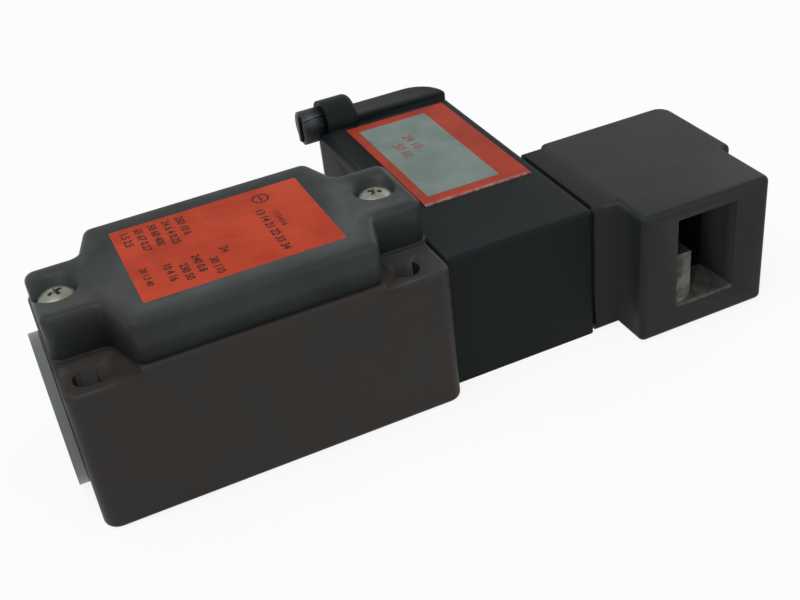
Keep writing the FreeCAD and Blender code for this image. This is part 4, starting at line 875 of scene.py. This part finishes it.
class SWITCH_OT_entry_thread(bpy.types.Operator):
    """Cut the thread of the cable entry as one helical ridge"""
    bl_idname = "switch.entry_thread"
    bl_label = "Cable entry thread"

    def execute(self, context):
        given = sizes()
        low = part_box("base_housing")[0]
        turns, steps = 6, 36
        root, half = ENTRY_BORE + mm(0.02), given.thread_pitch * 0.42
        places = ((root, -half), (ENTRY_BORE - given.thread_height, 0.0), (root, half))
        bm = bmesh.new()
        ring = [bm.verts.new((0.0, radius, shift)) for radius, shift in places]
        cap = bm.faces.new(ring)
        bmesh.ops.spin(bm, geom=[cap, *cap.edges[:], *ring], cent=(0, 0, 0), axis=(0, 0, 1),
                       dvec=(0, 0, given.thread_pitch / steps), angle=2 * math.pi * turns,
                       steps=turns * steps, use_merge=False, use_duplicate=False)
        spot = Matrix.Translation((low.x + mm(1.2), 0.0, ENTRY_HEIGHT)) @ turn_to((1, 0, 0))
        bmesh.ops.transform(bm, matrix=spot, verts=bm.verts)
        finish_piece("entry_thread", bm, "worn steel", "housing",
                     smooth=20.0)
        return {"FINISHED"}


class SWITCH_OT_lid_print(bpy.types.Operator):
    """Print the lid label with plain numbers and a contact symbol"""
    bl_idname = "switch.lid_print"
    bl_label = "Lid label print"

    # Text, height, and start from the label's middle along x and y in millimetres
    lines = (("13 14 21 22 33 34", 1.6, 7.8, 5.6), ("1 2 3 4 5 6", 1.0, 10.6, 3.4),
             ("250 10 6", 1.5, -6.4, 12.2), ("24 6 4 0.25", 1.5, -9.1, 12.2),
             ("50 60 400", 1.5, -11.8, 12.2), ("65 67 0.27", 1.5, -14.5, 12.2),
             ("1.5 2.5", 1.5, -17.2, 12.2), ("24", 1.5, -2.2, -3.6),
             ("30 110", 1.5, -4.9, -6.2), ("240 0.8", 1.5, -7.6, -3.4),
             ("230 50", 1.5, -10.3, -5.2), ("10 4 16", 1.5, -13.0, -3.4),
             ("20 1.5 40", 1.2, -17.0, -2.6))

    def execute(self, context):
        low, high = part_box("lid_label")
        middle = (low + high) / 2
        top = high.z + sizes().print_lift
        bm = bmesh.new()
        for text, height, x, y in self.lines:
            figures(bm, text, mm(height), middle.x + mm(x), middle.y + mm(y), top)
        x, y = middle.x + mm(10.3), middle.y + mm(9.6)
        printed_ring(bm, Matrix.Translation((x, y, top)), mm(1.75), mm(0.35))
        dash(bm, x - mm(0.2), x + mm(0.2), y - mm(1.0), y + mm(1.0), top)
        flat_piece("lid_label_print", bm, "ink")
        return {"FINISHED"}


class SWITCH_OT_module_print(bpy.types.Operator):
    """Print the module's label with its pale field and plain numbers"""
    bl_idname = "switch.module_print"
    bl_label = "Module label print"

    def execute(self, context):
        low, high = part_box("module_label")
        lift = sizes().print_lift
        bm = bmesh.new()
        dash(bm, low.x + mm(2.1), high.x - mm(6.0), low.y + mm(3.2), high.y - mm(2.9),
             high.z + lift)
        flat_piece("module_label_field", bm, "pale field")
        bm = bmesh.new()
        middle = (low.y + high.y) / 2
        for text, x, y in (("24 10", 9.2, 10.4), ("50 60", 5.6, 7.6)):
            figures(bm, text, mm(2.3), low.x + mm(x), middle + mm(y), high.z + 2 * lift)
        flat_piece("module_label_figures", bm, "red ink")
        return {"FINISHED"}


class SWITCH_OT_release_knob(bpy.types.Operator):
    """Finish the auxiliary release and make the bar across its head"""
    bl_idname = "switch.release_knob"
    bl_label = "Auxiliary release"

    def execute(self, context):
        dress("release_spindle", "dark steel")
        low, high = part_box("release_spindle")
        spot = (low.x - mm(0.25), (low.y + high.y) / 2, RELEASE_HEIGHT)
        bm = bmesh.new()
        bmesh.ops.create_cube(bm, size=1.0)
        bmesh.ops.scale(bm, vec=(mm(0.9), mm(1.5), mm(6.4)), verts=bm.verts)
        bmesh.ops.bevel(bm, geom=bm.edges[:], offset=mm(0.2), segments=2, affect="EDGES",
                        profile=0.5, material=-1, offset_type="OFFSET")
        bmesh.ops.translate(bm, vec=spot, verts=bm.verts)
        finish_piece("release_key_bar", bm, "dark steel", "release")
        return {"FINISHED"}


class SWITCH_OT_stage(bpy.types.Operator):
    """Set up the floor, the soft lamps, the world and the camera"""
    bl_idname = "switch.stage"
    bl_label = "Stage"

    def execute(self, context):
        make_floor()
        make_lamps()
        make_world()
        make_camera()
        return {"FINISHED"}


OPERATORS = (SWITCH_OT_castings, SWITCH_OT_module, SWITCH_OT_inner_parts, SWITCH_OT_lid_screws,
             SWITCH_OT_cap_screws, SWITCH_OT_cover_screws, SWITCH_OT_entry_thread,
             SWITCH_OT_lid_print, SWITCH_OT_module_print, SWITCH_OT_release_knob,
             SWITCH_OT_stage)


class SWITCH_PT_panel(bpy.types.Panel):
    """Lists the switch's sizes, colours and pieces"""
    bl_idname = "SWITCH_PT_panel"
    bl_label = "Interlock switch"
    bl_space_type = "VIEW_3D"
    bl_region_type = "UI"
    bl_category = "Interlock switch"

    def draw(self, context):
        layout = self.layout
        for holder in (context.scene.switch_sizes, context.scene.switch_colours):
            for word in holder.__annotations__:
                layout.prop(holder, word)
        for operator in OPERATORS:
            layout.operator(operator.bl_idname)


CLASSES = (SwitchSizes, SwitchColours, *OPERATORS, SWITCH_PT_panel)


def register():
    for item in CLASSES:
        bpy.utils.register_class(item)
    bpy.types.Scene.switch_sizes = PointerProperty(type=SwitchSizes)
    bpy.types.Scene.switch_colours = PointerProperty(type=SwitchColours)


def unregister():
    del bpy.types.Scene.switch_colours
    del bpy.types.Scene.switch_sizes
    for item in reversed(CLASSES):
        bpy.utils.unregister_class(item)


def main():
    register()
    for operator in OPERATORS:
        family, word = operator.bl_idname.split(".")
        getattr(getattr(bpy.ops, family), word)()
    bpy.context.view_layer.update()


if __name__ == "__main__":
    main()
